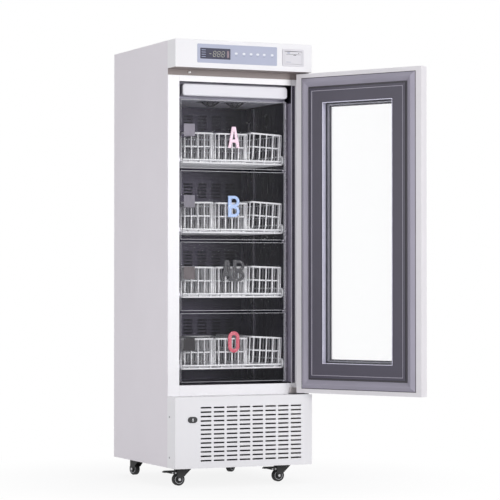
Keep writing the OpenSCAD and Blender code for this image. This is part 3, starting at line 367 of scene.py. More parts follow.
def copy_of(node):
    bpy.ops.object.select_all(action="DESELECT")
    frame["nodes"][node].select_set(True)
    bpy.context.view_layer.objects.active = frame["nodes"][node]
    bpy.ops.object.duplicate()
    piece = bpy.context.object
    bpy.ops.object.parent_clear(type="CLEAR_KEEP_TRANSFORM")
    del piece["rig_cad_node"]
    piece.name = node + "_dressed"
    bpy.ops.mesh.customdata_custom_splitnormals_clear()
    bpy.ops.object.mode_set(mode="EDIT")
    bpy.ops.mesh.select_all(action="SELECT")
    bpy.ops.mesh.remove_doubles(threshold=0.000002)
    bpy.ops.mesh.dissolve_limited(angle_limit=math.radians(0.3))
    bpy.ops.object.mode_set(mode="OBJECT")
    return piece


def dress(piece, node, slot, *finishes):
    bands = [face.material_index for face in piece.data.polygons]
    piece.data.materials.clear()
    for each in finishes:
        piece.data.materials.append(each)
    for face, band in zip(piece.data.polygons, bands):
        face.material_index = min(band, len(finishes) - 1)
    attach(piece, body_of(node))
    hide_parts(node)
    return piece


def softened(node, slot, paint, width, steps=2):
    piece = copy_of(node)
    round_edges(piece, width, steps)
    dress(piece, node, slot, paint)
    print(piece.name, len(piece.data.polygons), "faces")
    return piece


softened("outer_shell", "shell_white", shell_white, 0.0007)
softened("back_panel", "shell_white", shell_white, 0.0006)
head = softened("head_cover", "shell_white", head_white, 0.0009)
# The head's downward faces take the taupe: painted shade under the head.
head.data.materials.append(rail_taupe_painted_shade)
for face in head.data.polygons:
    face.material_index = int(face.normal.z < -0.5 and face.center.z < 1.675)
kick = softened("kick_panel", "shell_white", head_white, 0.0008)
# Inner faces of the kick panel are painted black: painted shade, so the slots look dark.
kick.data.materials.append(black_plastic)
for face in kick.data.polygons:
    painted_shade_inside = face.center.y > -0.3385 and abs(face.center.x) < 0.298 and 0.077 < face.center.z < 0.356
    face.material_index = int(painted_shade_inside)
softened("front_frame", "frame_white", frame_white, 0.0012, 3)
# The rail's taupe is partly its own grey and partly painted shade from the head above.
softened("switch_rail", "rail_grey", rail_taupe_painted_shade, 0.001)
softened("lamp_cover", "frame_white", lamp_white, 0.005, 4)
softened("base_plate", "base_grey", base_grey, 0.0008)
softened("door_hinges", "hinge_grey", hinge_grey, 0.0008)

# %% Rounded copies inside the cavity and the head
duct = softened("duct_panel", "liner_steel", duct_steel, 0.0004)
softened("drawer_rails", "rail_steel", rail_steel, 0.0005)
softened("control_panel", "panel_blue", panel_blue, 0.0004)
softened("display_window", "display_dark", display_dark, 0.0003)
softened("printer_body", "printer_grey", printer_grey, 0.001)
softened("printer_cover", "printer_grey", printer_grey, 0.0008)
softened("lock_bezel", "black_plastic", black_plastic, 0.001, 3)
softened("lock_barrel", "lock_silver", black_plastic, 0.0005)
softened("lock_bolt", "lock_silver", dark_steel, 0.0008)
softened("switch_plunger", "plunger_white", plunger_white, 0.0015, 3)
for letter, slot, paint in (("a", "sign_pink", sign_pink), ("b", "sign_blue", sign_blue),
                            ("ab", "sign_grey", sign_grey), ("o", "sign_red", sign_red)):
    softened("sign_" + letter, slot, paint, 0.0008, 3)

# %% Rounded copies on the door and the casters
softened("door_frame", "door_white", door_white, 0.002, 3)
softened("door_handle", "handle_steel", handle_steel, 0.0015, 3)
softened("caster_plates", "zinc_steel", zinc_steel, 0.0006)
softened("screws", "zinc_steel", zinc_steel, 0.0005)
for i in range(1, 5):
    # Each pull gets its own shaded copy of the steel: painted shade.
    softened(f"front_pull_{i}", "pull_steel", pull_steel[i - 1], 0.0006)
    softened(f"caster_fork_{i}", "caster_black", caster_black, 0.0008)
    softened(f"caster_wheel_{i}", "wheel_black", wheel_black, 0.0006)
for i in (1, 2):
    softened(f"brake_pedal_{i}", "caster_black", caster_black, 0.0009)

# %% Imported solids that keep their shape
def repaint(paint, *nodes):
    for node in nodes:
        solid = frame["nodes"][node]
        solid.data.materials.clear()
        solid.data.materials.append(paint)
    print(paint.name, "on", ", ".join(nodes))


repaint(foam_yellow, "insulation")
repaint(liner_steel, "inner_liner")
repaint(black_paint, "compressor")
repaint(fin_metal, "condenser")
repaint(black_plastic, "evaporator_fan_1", "evaporator_fan_2", "condenser_fan")

# %% [markdown]
# Each drawer is a tray of steel wire dipped in white plastic, with three loose wire baskets. Wire could
# be swept along a drawn curve, but bending one is closer to the shop: a plane gives the outline, its face
# is thrown away, corners are rounded as on a bending jig, and the outline gets a round section. One hoop
# is then repeated along the basket with an Array modifier.

# %% Bending and repeating wire
def middle(part):
    return sum((corner.co for corner in part.verts), Vector()) / len(part.verts)


def choose(kind, test):
    """In edit mode, selects the corners, edges or faces that pass a test."""
    bpy.ops.mesh.select_mode(type=kind)
    bpy.ops.mesh.select_all(action="DESELECT")
    grid = bmesh.from_edit_mesh(bpy.context.object.data)
    for part in {"VERT": grid.verts, "EDGE": grid.edges, "FACE": grid.faces}[kind]:
        part.select_set(bool(test(part)))
    grid.select_flush_mode()
    bmesh.update_edit_mesh(bpy.context.object.data)


def leaf(wide, tall):
    """A flat rectangle, as a start for other shapes."""
    bpy.ops.object.select_all(action="DESELECT")
    bpy.ops.mesh.primitive_plane_add(size=1)
    bpy.context.object.scale = (wide, tall, 1)
    bpy.ops.object.transform_apply(location=False, rotation=False, scale=True)
    return bpy.context.object


def rod(corners, radius, length, turn, place):
    """A cylinder with so many corners, as a start for other shapes."""
    bpy.ops.object.select_all(action="DESELECT")
    bpy.ops.mesh.primitive_cylinder_add(vertices=corners, radius=radius, depth=length, rotation=turn, location=place)
    bpy.ops.object.transform_apply(location=True, rotation=True, scale=True)
    return bpy.context.object


def bent_wire(wide, tall, gauge, corner, closed, turn, place):
    """A wire bent to a rectangle, or to a U that is open at the top."""
    wire = leaf(wide, tall)
    bpy.ops.object.mode_set(mode="EDIT")
    bpy.ops.mesh.select_all(action="SELECT")
    bpy.ops.mesh.delete(type="ONLY_FACE")
    if not closed:
        choose("EDGE", lambda edge: middle(edge).y > 0.4 * tall)
        bpy.ops.mesh.delete(type="EDGE")
    choose("VERT", lambda spot: closed or spot.co.y < 0)
    bpy.ops.mesh.bevel(offset=corner, segments=4, affect="VERTICES")
    bpy.ops.object.mode_set(mode="OBJECT")
    wire.rotation_euler = turn
    wire.location = place
    bpy.ops.object.transform_apply(location=True, rotation=True, scale=True)
    bpy.ops.object.convert(target="CURVE")
    wire.data.bevel_depth = gauge / 2
    wire.data.bevel_resolution = 1
    wire.data.use_fill_caps = True
    bpy.ops.object.convert(target="MESH")
    bpy.ops.object.mode_set(mode="EDIT")
    bpy.ops.mesh.select_all(action="SELECT")
    bpy.ops.mesh.remove_doubles(threshold=0.00001)
    bpy.ops.mesh.normals_make_consistent(inside=False)
    bpy.ops.object.mode_set(mode="OBJECT")
    return bpy.context.object


def straight_wire(length, gauge, turn, place):
    wire = rod(10, gauge / 2, length, turn, place)
    round_edges(wire, gauge / 6, 2, 60)
    return wire


def repeated(piece, count, step):
    only(piece)
    row = piece.modifiers.new("row", "ARRAY")
    row.count = count
    row.use_relative_offset = False
    row.use_constant_offset = True
    row.constant_offset_displace = step
    bpy.ops.object.modifier_apply(modifier=row.name)
    return piece


def joined(name, pieces):
    bpy.ops.object.select_all(action="DESELECT")
    for piece in pieces:
        piece.select_set(True)
    bpy.context.view_layer.objects.active = pieces[0]
    if len(pieces) > 1:
        bpy.ops.object.join()
    made = bpy.context.object
    made.name = name
    return made


flat = (0, 0, 0)
across = (math.pi / 2, 0, 0)
along = (math.pi / 2, 0, math.pi / 2)
print("wire tools ready")

# %% One basket
thin, thick = 0.0056, 0.0076
basket_wide, basket_deep, basket_tall = 0.1465, 0.3725, 0.1195
hoop_top = basket_tall - thick / 2
side_hoops = repeated(
    bent_wire(basket_wide - thin, hoop_top - thin / 2, thin, 0.012, False, across,
              (0, 0.014, (hoop_top + thin / 2) / 2)),
    13, (0, (basket_deep - 0.028) / 12, 0))
long_hoops = repeated(
    bent_wire(basket_deep - thin, hoop_top - 1.5 * thin, thin, 0.012, False, along,
              (-0.058, basket_deep / 2, (hoop_top + 1.5 * thin) / 2)),
    5, (0.029, 0, 0))
rim = bent_wire(basket_wide - thick, basket_deep - thick, thick, 0.014, True, flat, (0, basket_deep / 2, hoop_top))
belt = bent_wire(basket_wide - 3 * thin, basket_deep - 3 * thin, thin * 1.15, 0.014, True, flat,
                 (0, basket_deep / 2, 0.52 * basket_tall))
basket = joined("basket_form", [rim, belt, side_hoops, long_hoops])
print("basket", len(basket.data.polygons), "faces", tuple(basket.dimensions))

# %% One tray
tray_wide, tray_deep, lip = 0.459, 0.379, 0.037
tray_hoops = repeated(
    bent_wire(tray_wide - 0.005, lip - thin, thin, 0.01, False, across, (0, 0.022, lip / 2)),
    12, (0, (tray_deep - 0.044) / 11, 0))
side_rails = repeated(
    bent_wire(tray_deep - thick, lip - thick / 2, thick, 0.012, True, along,
              ((thick - tray_wide) / 2, tray_deep / 2, lip / 2 + thick / 4)),
    2, (tray_wide - thick, 0, 0))
end_bars = repeated(straight_wire(tray_wide - 0.02, 0.0068, (0, math.pi / 2, 0), (0, 0.0036, 0.0036)),
                    2, (0, tray_deep - 0.0072, 0))
end_bars = repeated(end_bars, 2, (0, 0, 0.0125))
floor_wires = repeated(straight_wire(tray_deep - 0.006, thin, across, (-0.19, tray_deep / 2, 1.5 * thin)),
                       9, (0.0475, 0, 0))
tray = joined("tray_form", [side_rails, tray_hoops, end_bars, floor_wires])
print("tray", len(tray.data.polygons), "faces", tuple(tray.dimensions))

# %% [markdown]
# The four drawers are copies of that tray with three baskets each. Loose baskets never stand quite
# straight: the right-hand ones lean a little, as in the picture. Every drawer also has a runner bar on
# each side, and on the right an upright strip with two lugs, in which its clear front turns.

# %% Four drawers
tray_floor = (1.29125, 1.0105, 0.74975, 0.461)
front_floor = (1.27125, 0.9845, 0.69775, 0.411)
front_tall = 0.27775
leans = ((-0.6, 0.3, 3.0), (-0.8, 0.0, 3.2), (0.4, 0.0, 1.8), (-0.3, -0.3, 3.0))


def placed_copy(form, name, spot):
    only(form)
    bpy.ops.object.duplicate()
    copy = bpy.context.object
    copy.name = name
    copy.matrix_world = spot
    bpy.ops.object.transform_apply(location=True, rotation=True, scale=True)
    return copy


def block(name, low, high):
    """A box between two opposite corners, as a start for other shapes."""
    bpy.ops.object.select_all(action="DESELECT")
    bpy.ops.mesh.primitive_cube_add(size=1, location=[(a + b) / 2 for a, b in zip(low, high)])
    made = bpy.context.object
    made.name = name
    made.scale = [b - a for a, b in zip(low, high)]
    bpy.ops.object.transform_apply(location=True, rotation=True, scale=True)
    return made


def slab(name, low, high, soft=0.0006):
    """A plate between two opposite corners, with its edges rounded."""
    plate = block(name, low, high)
    round_edges(plate, soft)
    return plate


for i in range(4):
    floor_z = tray_floor[i]
    parts = [placed_copy(tray, "tray", Matrix.Translation((0, -0.2215, floor_z + 0.0003)))]
    for column, lean in zip((-1, 0, 1), leans[i]):
        edge = 0.072 if lean > 0 else -0.072
        spot = (Matrix.Translation((0.1495 * column + edge, -0.2182, floor_z + 0.0068))
                @ Matrix.Rotation(math.radians(lean), 4, "Y") @ Matrix.Translation((-edge, 0, 0)))
        parts.append(placed_copy(basket, "basket", spot))
    drawer = joined(f"drawer_{i + 1}_wires", parts)
    bpy.ops.object.shade_smooth_by_angle(angle=math.radians(50))
    dress(drawer, f"drawer_{i + 1}", "coated_wire", wire_white)
    low, high = front_floor[i] - 0.0034, front_floor[i] + front_tall + 0.0034
    steel = [slab("runner", (side * 0.23485 - 0.0048, -0.222, floor_z + 0.008),
                  (side * 0.23485 + 0.0048, 0.158, floor_z + 0.02)) for side in (-1, 1)]
    steel.append(slab("strip", (0.22965, -0.2345, low), (0.23365, -0.2224, high), 0.0008))
    for lug in (low, high - 0.003):
        steel.append(slab("lug", (0.21805, -0.2345, lug), (0.23065, -0.2245, lug + 0.003), 0.0005))
    runners = joined(f"drawer_{i + 1}_runners", steel)
    dress(runners, f"drawer_{i + 1}", "rail_steel", rail_steel)
    print(drawer.name, len(drawer.data.polygons), "faces")
for form in (basket, tray):
    bpy.data.objects.remove(form)

# %% [markdown]
# The clear fronts are thin acrylic sheets. Their faces are almost invisible. Their sawn and polished edges, and a rim
# round each face, are painted paler and less clear as a painted highlight where the edges catch the light, so the
# faces are inset by a few millimetres and the rim and the edge get finishes of their own.

# %% Clear fronts
for i in range(1, 5):
    sheet = copy_of(f"clear_front_{i}")
    bpy.ops.object.mode_set(mode="EDIT")
    choose("FACE", lambda face: abs(face.normal.y) > 0.9)
    bpy.ops.mesh.inset(thickness=0.0024, depth=0)
    bpy.ops.object.mode_set(mode="OBJECT")
    sheet.data.materials.clear()
    for paint in (clear_acrylic, clear_rim_painted_highlight, clear_edge_painted_highlight):
        sheet.data.materials.append(paint)
    for face in sheet.data.polygons:
        # Edge faces and the rim round each face get the paler finishes: painted highlight.
        face.material_index = 2 if abs(face.normal.y) <= 0.9 else 0 if face.select else 1
    round_edges(sheet, 0.0006)
    dress(sheet, f"clear_front_{i}", "clear_acrylic", clear_acrylic, clear_rim_painted_highlight, clear_edge_painted_highlight)
    print(sheet.name, "rim faces", sum(face.material_index == 1 for face in sheet.data.polygons))

# %% [markdown]
# The inside of the door is a stack of frames, one inside the other. All of them are rectangular rings
# with a section: a box is inset step by step, each step with its own depth, then the middle is cut out
# and the two rims are bridged. A profile swept along a rectangle would do the same, but insets keep the
# mitred corners exact. The rings are made lying flat, stood up in the closed door, and swung open on the
# hinge pin.

# %% Rings in the door
hinge_pin = Vector((0.283, -0.3003, 0))
door_open = math.radians(119)
door_swing = Matrix.Translation(hinge_pin) @ Matrix.Rotation(door_open, 4, "Z") @ Matrix.Translation(-hinge_pin)
stand_up = Matrix.Rotation(-math.pi / 2, 4, "X")


def door_place(depth):
    """From flat to the open door, with the flat piece's underside at that depth."""
    return door_swing @ Matrix.Translation((0, depth, 1.012)) @ stand_up


def ring(name, wide, tall, base, steps, soft, soft_steps=3, bands=()):
    """A rectangular ring: a box of that height, then insets of (width, rise) towards the middle.
    Bands are distances from the outer edge at which the next finish begins."""
    piece = block(name, (-wide / 2, -tall / 2, 0), (wide / 2, tall / 2, base))
    bpy.ops.object.mode_set(mode="EDIT")
    choose("FACE", lambda face: face.normal.z > 0.9)
    for width, rise in steps:
        bpy.ops.mesh.inset(thickness=width, depth=rise, use_even_offset=True)
    bpy.ops.mesh.delete(type="FACE")
    choose("FACE", lambda face: face.normal.z < -0.9 and face.calc_center_median().length < 0.01)
    bpy.ops.mesh.inset(thickness=sum(width for width, rise in steps), depth=0, use_even_offset=True)
    bpy.ops.mesh.delete(type="FACE")
    choose("EDGE", lambda edge: edge.is_boundary)
    bpy.ops.mesh.bridge_edge_loops()
    bpy.ops.mesh.select_all(action="SELECT")
    bpy.ops.mesh.normals_make_consistent(inside=False)
    bpy.ops.object.mode_set(mode="OBJECT")
    for finish_spot in [None] * (len(bands) + 1):
        piece.data.materials.append(finish_spot)
    for face in piece.data.polygons:
        inward = min(wide / 2 - abs(face.center.x), tall / 2 - abs(face.center.y))
        face.material_index = sum(inward > band for band in bands)
    round_edges(piece, soft, soft_steps, 12)
    return piece


def hang(piece, depth):
    only(piece)
    piece.matrix_world = door_place(depth)
    bpy.ops.object.transform_apply(location=True, rotation=True, scale=True)
    return piece


gasket = ring("door_gasket_soft", 0.542, 1.256, 0.002,
              [(0.0008, 0.001), (0.0125, 0.0092), (0.0025, 0.0006), (0.0025, -0.0006), (0.0167, -0.0098)], 0.0009, 4)
dress(hang(gasket, -0.2703), "door_gasket", "gasket_grey", gasket_grey)
print(gasket.name, len(gasket.data.polygons), "faces")

# %% Painted shade line at the gasket, slate frame and glazing bead
# A thin black ring round the gasket is painted shade, the contact shadow between the rim and the gasket.
gasket_shade_line = ring("gasket_painted_shade_line", 0.5475, 1.2615, 0.0004, [(0.004, 0.0002)], 0.0001, 1)
gasket_shade_line.data.materials[0] = seal_black_and_painted_shade
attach(hang(gasket_shade_line, -0.2703), "door")
# The slate frame's outer groove is painted black as painted shade, and a thin band on its step is painted light as a
# painted highlight.
slate = ring("door_slate_frame", 0.4715, 1.1855, 0.0045,
             [(0.006, 0.0003), (0.001, 0.0026), (0.009, 0.0004), (0.0008, 0.001), (0.0022, 0.0), (0.0008, -0.0016),
              (0.0449, -0.0004), (0.0012, -0.0024)], 0.0004, 3, bands=(0.0065, 0.0172, 0.0196))
dress(hang(slate, -0.2703), "door_liner", "door_slate", seal_black_and_painted_shade, door_slate, slate_painted_highlight, door_slate)
# The glazing bead's outer black band is painted shade, the shadow of the reveal; the rest is the light spacer.
bead = ring("glazing_bead", 0.3392, 1.0592, 0.0178,
            [(0.0014, 0.0), (0.0003, 0.0032), (0.003, 0.0)], 0.0003, 2, bands=(0.0015,))
bead.data.materials[0], bead.data.materials[1] = seal_black_and_painted_shade, spacer_metal
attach(hang(bead, -0.2861), "door")
edge_bar = ring("glass_edge_bar", 0.3192, 1.0392, 0.0116,
                [(0.0043, 0.0), (0.0002, -0.0112), (0.0048, 0.0)], 0.0001, 1, bands=(0.0044,))
edge_bar.data.materials[0], edge_bar.data.materials[1] = glass_edge, seal_black_and_painted_shade
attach(hang(edge_bar, -0.3022), "door")
print("door rings:", gasket_shade_line.name, slate.name, bead.name, edge_bar.name)

# %% Sealed glass unit
panes = copy_of("door_glass")
round_edges(panes, 0.0005)
dress(panes, "door_glass", "window_glass", window_glass, glass_edge)
facing = door_swing.to_3x3() @ Vector((0, 1, 0))
for face in panes.data.polygons:
    face.material_index = 0 if abs(face.normal.dot(facing)) > 0.9 else 1
print(panes.name, "edge faces", sum(face.material_index for face in panes.data.polygons))

# %% [markdown]
# Under the ceiling hangs the evaporator in its sheet-steel case. Its underside, with two square fan guards, is painted
# pale: a painted reflection of the bright room below in the polished steel. Its front edge is plain dark steel. One
# copy of the imported solid carries both finishes, chosen by the way each face looks, so the guards keep their
# windows.

# %% Evaporator case
case = copy_of("evaporator_cover")
below = [face.normal.z < -0.9 for face in case.data.polygons]
dress(case, "evaporator_cover", "liner_steel", cover_steel, pale_painted_reflection)
# Faces that look down get the pale painted reflection.
for face, is_below in zip(case.data.polygons, below):
    face.material_index = int(is_below)
print(case.name, "with", sum(below), "faces in the pale finish")

# %% [markdown]
# Each fan in the evaporator is covered by a guard of bent wire, a shallow cone of four hoops and eight
# ribs. A hoop starts as a circle that gets a round section, and one rib is copied round the axis. Turning
# the whole cone from a profile would give a closed bowl, and no air would pass.

# %% Fan guards
def fitted(piece, body, paint):
    """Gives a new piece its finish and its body."""
    piece.data.materials.clear()
    piece.data.materials.append(paint)
    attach(piece, body)
    return piece


def on_cabinet(piece, paint):
    return fitted(piece, "cabinet", paint)


def wire_hoop(radius, gauge, drop):
    bpy.ops.object.select_all(action="DESELECT")
    bpy.ops.mesh.primitive_circle_add(vertices=32, radius=radius, location=(0, 0, -drop))
    bpy.ops.object.transform_apply(location=True, rotation=True, scale=True)
    bpy.ops.object.convert(target="CURVE")
    bpy.context.object.data.bevel_depth = gauge / 2
    bpy.context.object.data.bevel_resolution = 1
    bpy.ops.object.convert(target="MESH")
    bpy.ops.object.shade_smooth_by_angle(angle=math.radians(60))
    return bpy.context.object


rib = straight_wire(0.0286, 0.0022, (0, math.radians(57.5), 0), (0.025, 0, -0.0098))
spokes = [placed_copy(rib, "rib", Matrix.Rotation(math.radians(45 * k), 4, "Z")) for k in range(8)]
hoops = [wire_hoop(radius, 0.0022, drop) for radius, drop in
         ((0.037, 0.0021), (0.030, 0.0066), (0.022, 0.0117), (0.013, 0.0174))]
guard = joined("guard_form", hoops + spokes)
case_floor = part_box("evaporator_cover")[0].z
for i, x in enumerate((-0.055, 0.055), 1):
    hung = placed_copy(guard, f"fan_guard_{i}", Matrix.Translation((x, -0.12, case_floor)))
    on_cabinet(hung, dark_steel)
for form in (rib, guard):
    bpy.data.objects.remove(form)
print("two fan guards under", round(case_floor, 4))

# %% [markdown]
# The right-hand jamb of the opening is dressed in strips: a steel strip on the cavity wall, in front of
# the drawer posts, and on the stile a slim dark band between a bead and a flat. At the foot of the
# jamb a block carries the lower hinge. Each is a plate with rounded edges, thin enough for the closed door
# to pass.

# %% Right-hand jamb
on_cabinet(slab("jamb_strip", (0.2466, -0.2520, 0.406), (0.2479, -0.2240, 1.545), 0.0004), jamb_steel)
for name, left, right, proud, paint in (("jamb_bead", 0.2481, 0.2506, 0.00025, jamb_steel),
                                        ("jamb_dark_band", 0.2507, 0.2556, 0.00012, seal_black_and_painted_shade),
                                        ("jamb_flat", 0.2557, 0.2632, 0.0002, door_slate)):
    on_cabinet(slab(name, (left, -0.257 - proud, 0.4015), (right, -0.2569, 1.6175), 0.00005), paint)
on_cabinet(slab("hinge_block", (0.2375, -0.2695, 0.3605), (0.2665, -0.2571, 0.3835), 0.0012), block_grey)
on_cabinet(slab("hinge_shelf", (0.2335, -0.3050, 0.3582), (0.2630, -0.2575, 0.3612), 0.0006), dark_steel)
print("jamb strips and lower hinge block made")

# %% [markdown]
# The probe clip on the right-hand wall holds a sensor bottle: a short bar on a stem, with a round bush.

# %% Probe clip
clip = joined("probe_clip", [
    slab("bar", (0.2425, 0.1420, 1.4905), (0.2479, 0.1780, 1.4962), 0.0010),
    slab("stem", (0.2440, 0.1572, 1.4420), (0.2479, 0.1628, 1.4930), 0.0010),
])
on_cabinet(clip, rail_steel)
print(clip.name, tuple(clip.dimensions))

# %% [markdown]
# Three dark pieces stand behind openings: two as on the real object, and one as painted shade. The air slots
# of the cavity look taller in the picture than in the imported part, so their upper and lower faces are moved
# apart first. A soft bung sits a little way inside the round port in the right-hand wall: a cylinder with a
# dished face. A foam dust filter in a thin frame stands behind the slots in the back, and a dark sheet of the
# same foam stands behind the air slots of the cavity as painted shade for the dark duct: plates whose two
# faces are inset and pressed in, with a coarse, open grain.

# %% Mouths of the air slots
only(duct)
bpy.ops.object.mode_set(mode="EDIT")
duct_low, duct_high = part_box("duct_panel")
for way in (-1, 1):
    choose("FACE", lambda face: face.normal.z * way < -0.3
           and duct_low.z + 0.004 < face.calc_center_median().z < duct_high.z - 0.004)
    bpy.ops.transform.translate(value=(0, 0, way * 0.0009))
bpy.ops.object.mode_set(mode="OBJECT")
print("mouths of the air slots opened out by 1.8 mm")

# %% Port bung and foam filters
bung = rod(48, 0.0264, 0.014, (0, math.pi / 2, 0), (0.263, -0.007, 1.491))
bung.name = "port_bung"
bpy.ops.object.mode_set(mode="EDIT")
choose("FACE", lambda face: face.normal.x < -0.9)
bpy.ops.mesh.inset(thickness=0.004, depth=0)
bpy.ops.mesh.inset(thickness=0.003, depth=-0.003)
bpy.ops.object.mode_set(mode="OBJECT")
round_edges(bung, 0.0008)
on_cabinet(bung, black_plastic)
foam_filter_and_painted_shade = finish("foam_filter_and_painted_shade", tone(30, 30, 32), 0.9, drift=0.3, patch=300, grain=420, depth=0.0012,
                     specular=0.15)
# The duct sheet is painted shade: dark foam behind the cavity's air slots, where the duct is deep and dark.
for name, low, high in (("dust_filter", (-0.225, 0.3328, 0.093), (0.225, 0.3376, 0.291)),
                        ("duct_painted_shade_sheet", (-0.2075, 0.1802, 0.41), (0.2075, 0.1842, 1.54))):
    mat = block(name, low, high)
    bpy.ops.object.mode_set(mode="EDIT")
    choose("FACE", lambda face: abs(face.normal.y) > 0.9)
    bpy.ops.mesh.inset(thickness=0.005, depth=0)
    bpy.ops.mesh.inset(thickness=0.0012, depth=-0.0009)
    bpy.ops.object.mode_set(mode="OBJECT")
    round_edges(mat, 0.0004)
    on_cabinet(mat, foam_filter_and_painted_shade)
    print(mat.name, tuple(mat.dimensions))

# %% [markdown]
# The control panel is a printed membrane. Its keys are slight domes in the film, with a small pale bar
# under each for a legend, and the window shows unlit seven-bar figures. Real figures are printed or moulded
# in the lens. Here one bar is modelled as a flat plate with pointed ends and copied, because a picture on
# the glass would not survive a close look.

# %% Upright plates
def pad(name, wide, tall, thick, corner, place, steps=3, soft=0.0001):
    """A rounded plate with its back at a place and its face to the front."""
    plate = leaf(wide, tall)
    plate.name = name
    bpy.ops.object.mode_set(mode="EDIT")
    bpy.ops.mesh.select_all(action="SELECT")
    bpy.ops.mesh.bevel(offset=corner, segments=steps, affect="VERTICES")
    bpy.ops.mesh.select_all(action="SELECT")
    bpy.ops.mesh.extrude_region_move(TRANSFORM_OT_translate={"value": (0, 0, thick)})
    bpy.ops.mesh.select_all(action="SELECT")
    bpy.ops.mesh.normals_make_consistent(inside=False)
    bpy.ops.object.mode_set(mode="OBJECT")
    plate.rotation_euler = across
    plate.location = place
    bpy.ops.object.transform_apply(location=True, rotation=True, scale=True)
    round_edges(plate, soft, 1)
    return plate


figure_grey = finish("unlit_figures", tone(168, 166, 156), 0.5, drift=0.06, grain=300, depth=0.00002)
key_white = finish("key_print", tone(234, 236, 244), 0.5, drift=0.02, grain=900, depth=0.00003)
legend_grey = finish("legend_print", tone(150, 156, 182), 0.5, drift=0.05, grain=900, depth=0.00002)
alarm_red = finish("alarm_lens", tone(96, 58, 78), 0.3, drift=0.06, grain=200, depth=0.00002)
marks_dark = finish("dark_print", tone(92, 90, 96), 0.5, drift=0.08, grain=600, depth=0.00002)
print("print finishes made")

# %% Figures in the display
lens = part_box("display_window")[0].y
bar = pad("bar", 0.0098, 0.0023, 0.0003, 0.0011, (0, 0, 0), steps=1, soft=0.00005)
figure_wide, figure_tall, slope = 0.0112, 0.0216, math.tan(math.radians(8))
figure_z = 1.723
upright_bar = Matrix.Rotation(math.radians(82), 4, "Y")
bars = [placed_copy(bar, "bar", Matrix.Translation((-0.1505, lens, figure_z)))]
for centre in (-0.132, -0.1137, -0.0954):
    for level in (-1, 0, 1):
        up = level * figure_tall / 2
        bars.append(placed_copy(bar, "bar", Matrix.Translation((centre + up * slope, lens, figure_z + up))))
    for side in (-1, 1):
        for level in (-1, 1):
            up = level * figure_tall / 4
            spot = Matrix.Translation((centre + side * figure_wide / 2 + up * slope, lens, figure_z + up))
            bars.append(placed_copy(bar, "bar", spot @ upright_bar))
figures = on_cabinet(joined("display_figures", bars), figure_grey)
bpy.data.objects.remove(bar)
windows = [pad("window", 0.018, 0.0026, 0.0002, 0.0008, (-0.1795, lens, 1.7105 + 0.009 * row)) for row in range(4)]
on_cabinet(joined("display_windows", windows), legend_grey)
on_cabinet(pad("display_alarm", 0.009, 0.028, 0.0002, 0.001, (-0.0735, lens, figure_z)), alarm_red)
print(figures.name, len(figures.data.polygons), "faces")

# %% Keys and their legends
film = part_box("control_panel")[0].y
key_spots = (-0.0376, -0.0036, 0.0278, 0.057, 0.0857, 0.121)
keys = joined("membrane_keys", [pad("key", 0.0125, 0.0085, 0.0004, 0.0035, (x, film, 1.7285)) for x in key_spots])
on_cabinet(keys, key_white)
legends = joined("key_legends", [pad("legend", 0.010, 0.0022, 0.0002, 0.0008, (x, film, 1.7195)) for x in key_spots])
on_cabinet(legends, legend_grey)
print(keys.name, len(key_spots), "keys")

# %% Paper slot, tab and feed key on the printer cover
cover_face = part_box("printer_cover")[0].y
for name, wide, tall, thick, corner, x, z, paint in (
        ("paper_slot", 0.066, 0.0013, 0.00015, 0.0004, 0.2150, 1.7352, marks_dark),
        ("paper_tab", 0.013, 0.0028, 0.0006, 0.0009, 0.2215, 1.7330, marks_dark),
        ("feed_key", 0.012, 0.0040, 0.0006, 0.0012, 0.1935, 1.7410, legend_grey),
        ("feed_lamp", 0.0035, 0.0035, 0.0005, 0.0012, 0.2390, 1.7410, marks_dark),
        ("cover_grip", 0.020, 0.0016, 0.0005, 0.0006, 0.1935, 1.7040, legend_grey)):
    detail = pad(name, wide, tall, thick, corner, (x, cover_face, z))
    fitted(detail, "printer_cover", paint)
print("printer cover details on", round(cover_face, 4))

# %% Keyway of the lock
lock_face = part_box("lock_barrel")[0].y
for name, wide, tall, thick, paint in (("key_plate", 0.0056, 0.0120, 0.0003, lock_silver),
                                       ("key_slot", 0.0016, 0.0076, 0.0004, black_plastic)):
    detail = pad(name, wide, tall, thick, wide * 0.4, (-0.226, lock_face, 0.268))
    fitted(detail, "lock_barrel", paint)
print("keyway on", round(lock_face, 4))

# %% [markdown]
# A pressed-steel caster has broad cheeks beside its fork, a pale ring on each side of the wheel and a
# bright axle head. The brake pedal has two riveted cheeks of its own. Each is modelled once, with the
# swivel axis at the origin, and copied to the four casters, turned as each caster stands.

# %% Caster details, modelled once
def tapered(name, low, high, corner, shift, soft=0.0005):
    """A plate between two corners, one end of which is drawn in to a slant."""
    plate = block(name, low, high)
    bpy.ops.object.mode_set(mode="EDIT")
    choose("VERT", lambda spot: (spot.co - Vector((corner[0], spot.co.y, corner[1]))).length < 0.001)
    bpy.ops.transform.translate(value=shift)
    bpy.ops.object.mode_set(mode="OBJECT")
    round_edges(plate, soft)
    return plate


def stud(radius, high, place, soft):
    """A round head on an axis from front to back."""
    turned = rod(24, radius, high, across, place)
    round_edges(turned, soft, 3)
    return turned


def wheel_ring(place):
    bpy.ops.object.select_all(action="DESELECT")
    bpy.ops.mesh.primitive_torus_add(major_segments=40, minor_segments=8, major_radius=0.0166, minor_radius=0.0013,
                                     rotation=across, location=place)
    hoop = bpy.context.object
    bpy.ops.object.transform_apply(location=True, rotation=True, scale=True)
    bpy.ops.object.mode_set(mode="EDIT")
    bpy.ops.mesh.select_all(action="SELECT")
    bpy.ops.transform.resize(value=(1, 0.5, 1), center_override=place)
    bpy.ops.object.mode_set(mode="OBJECT")
    bpy.ops.object.shade_smooth_by_angle(angle=math.radians(60))
    return hoop


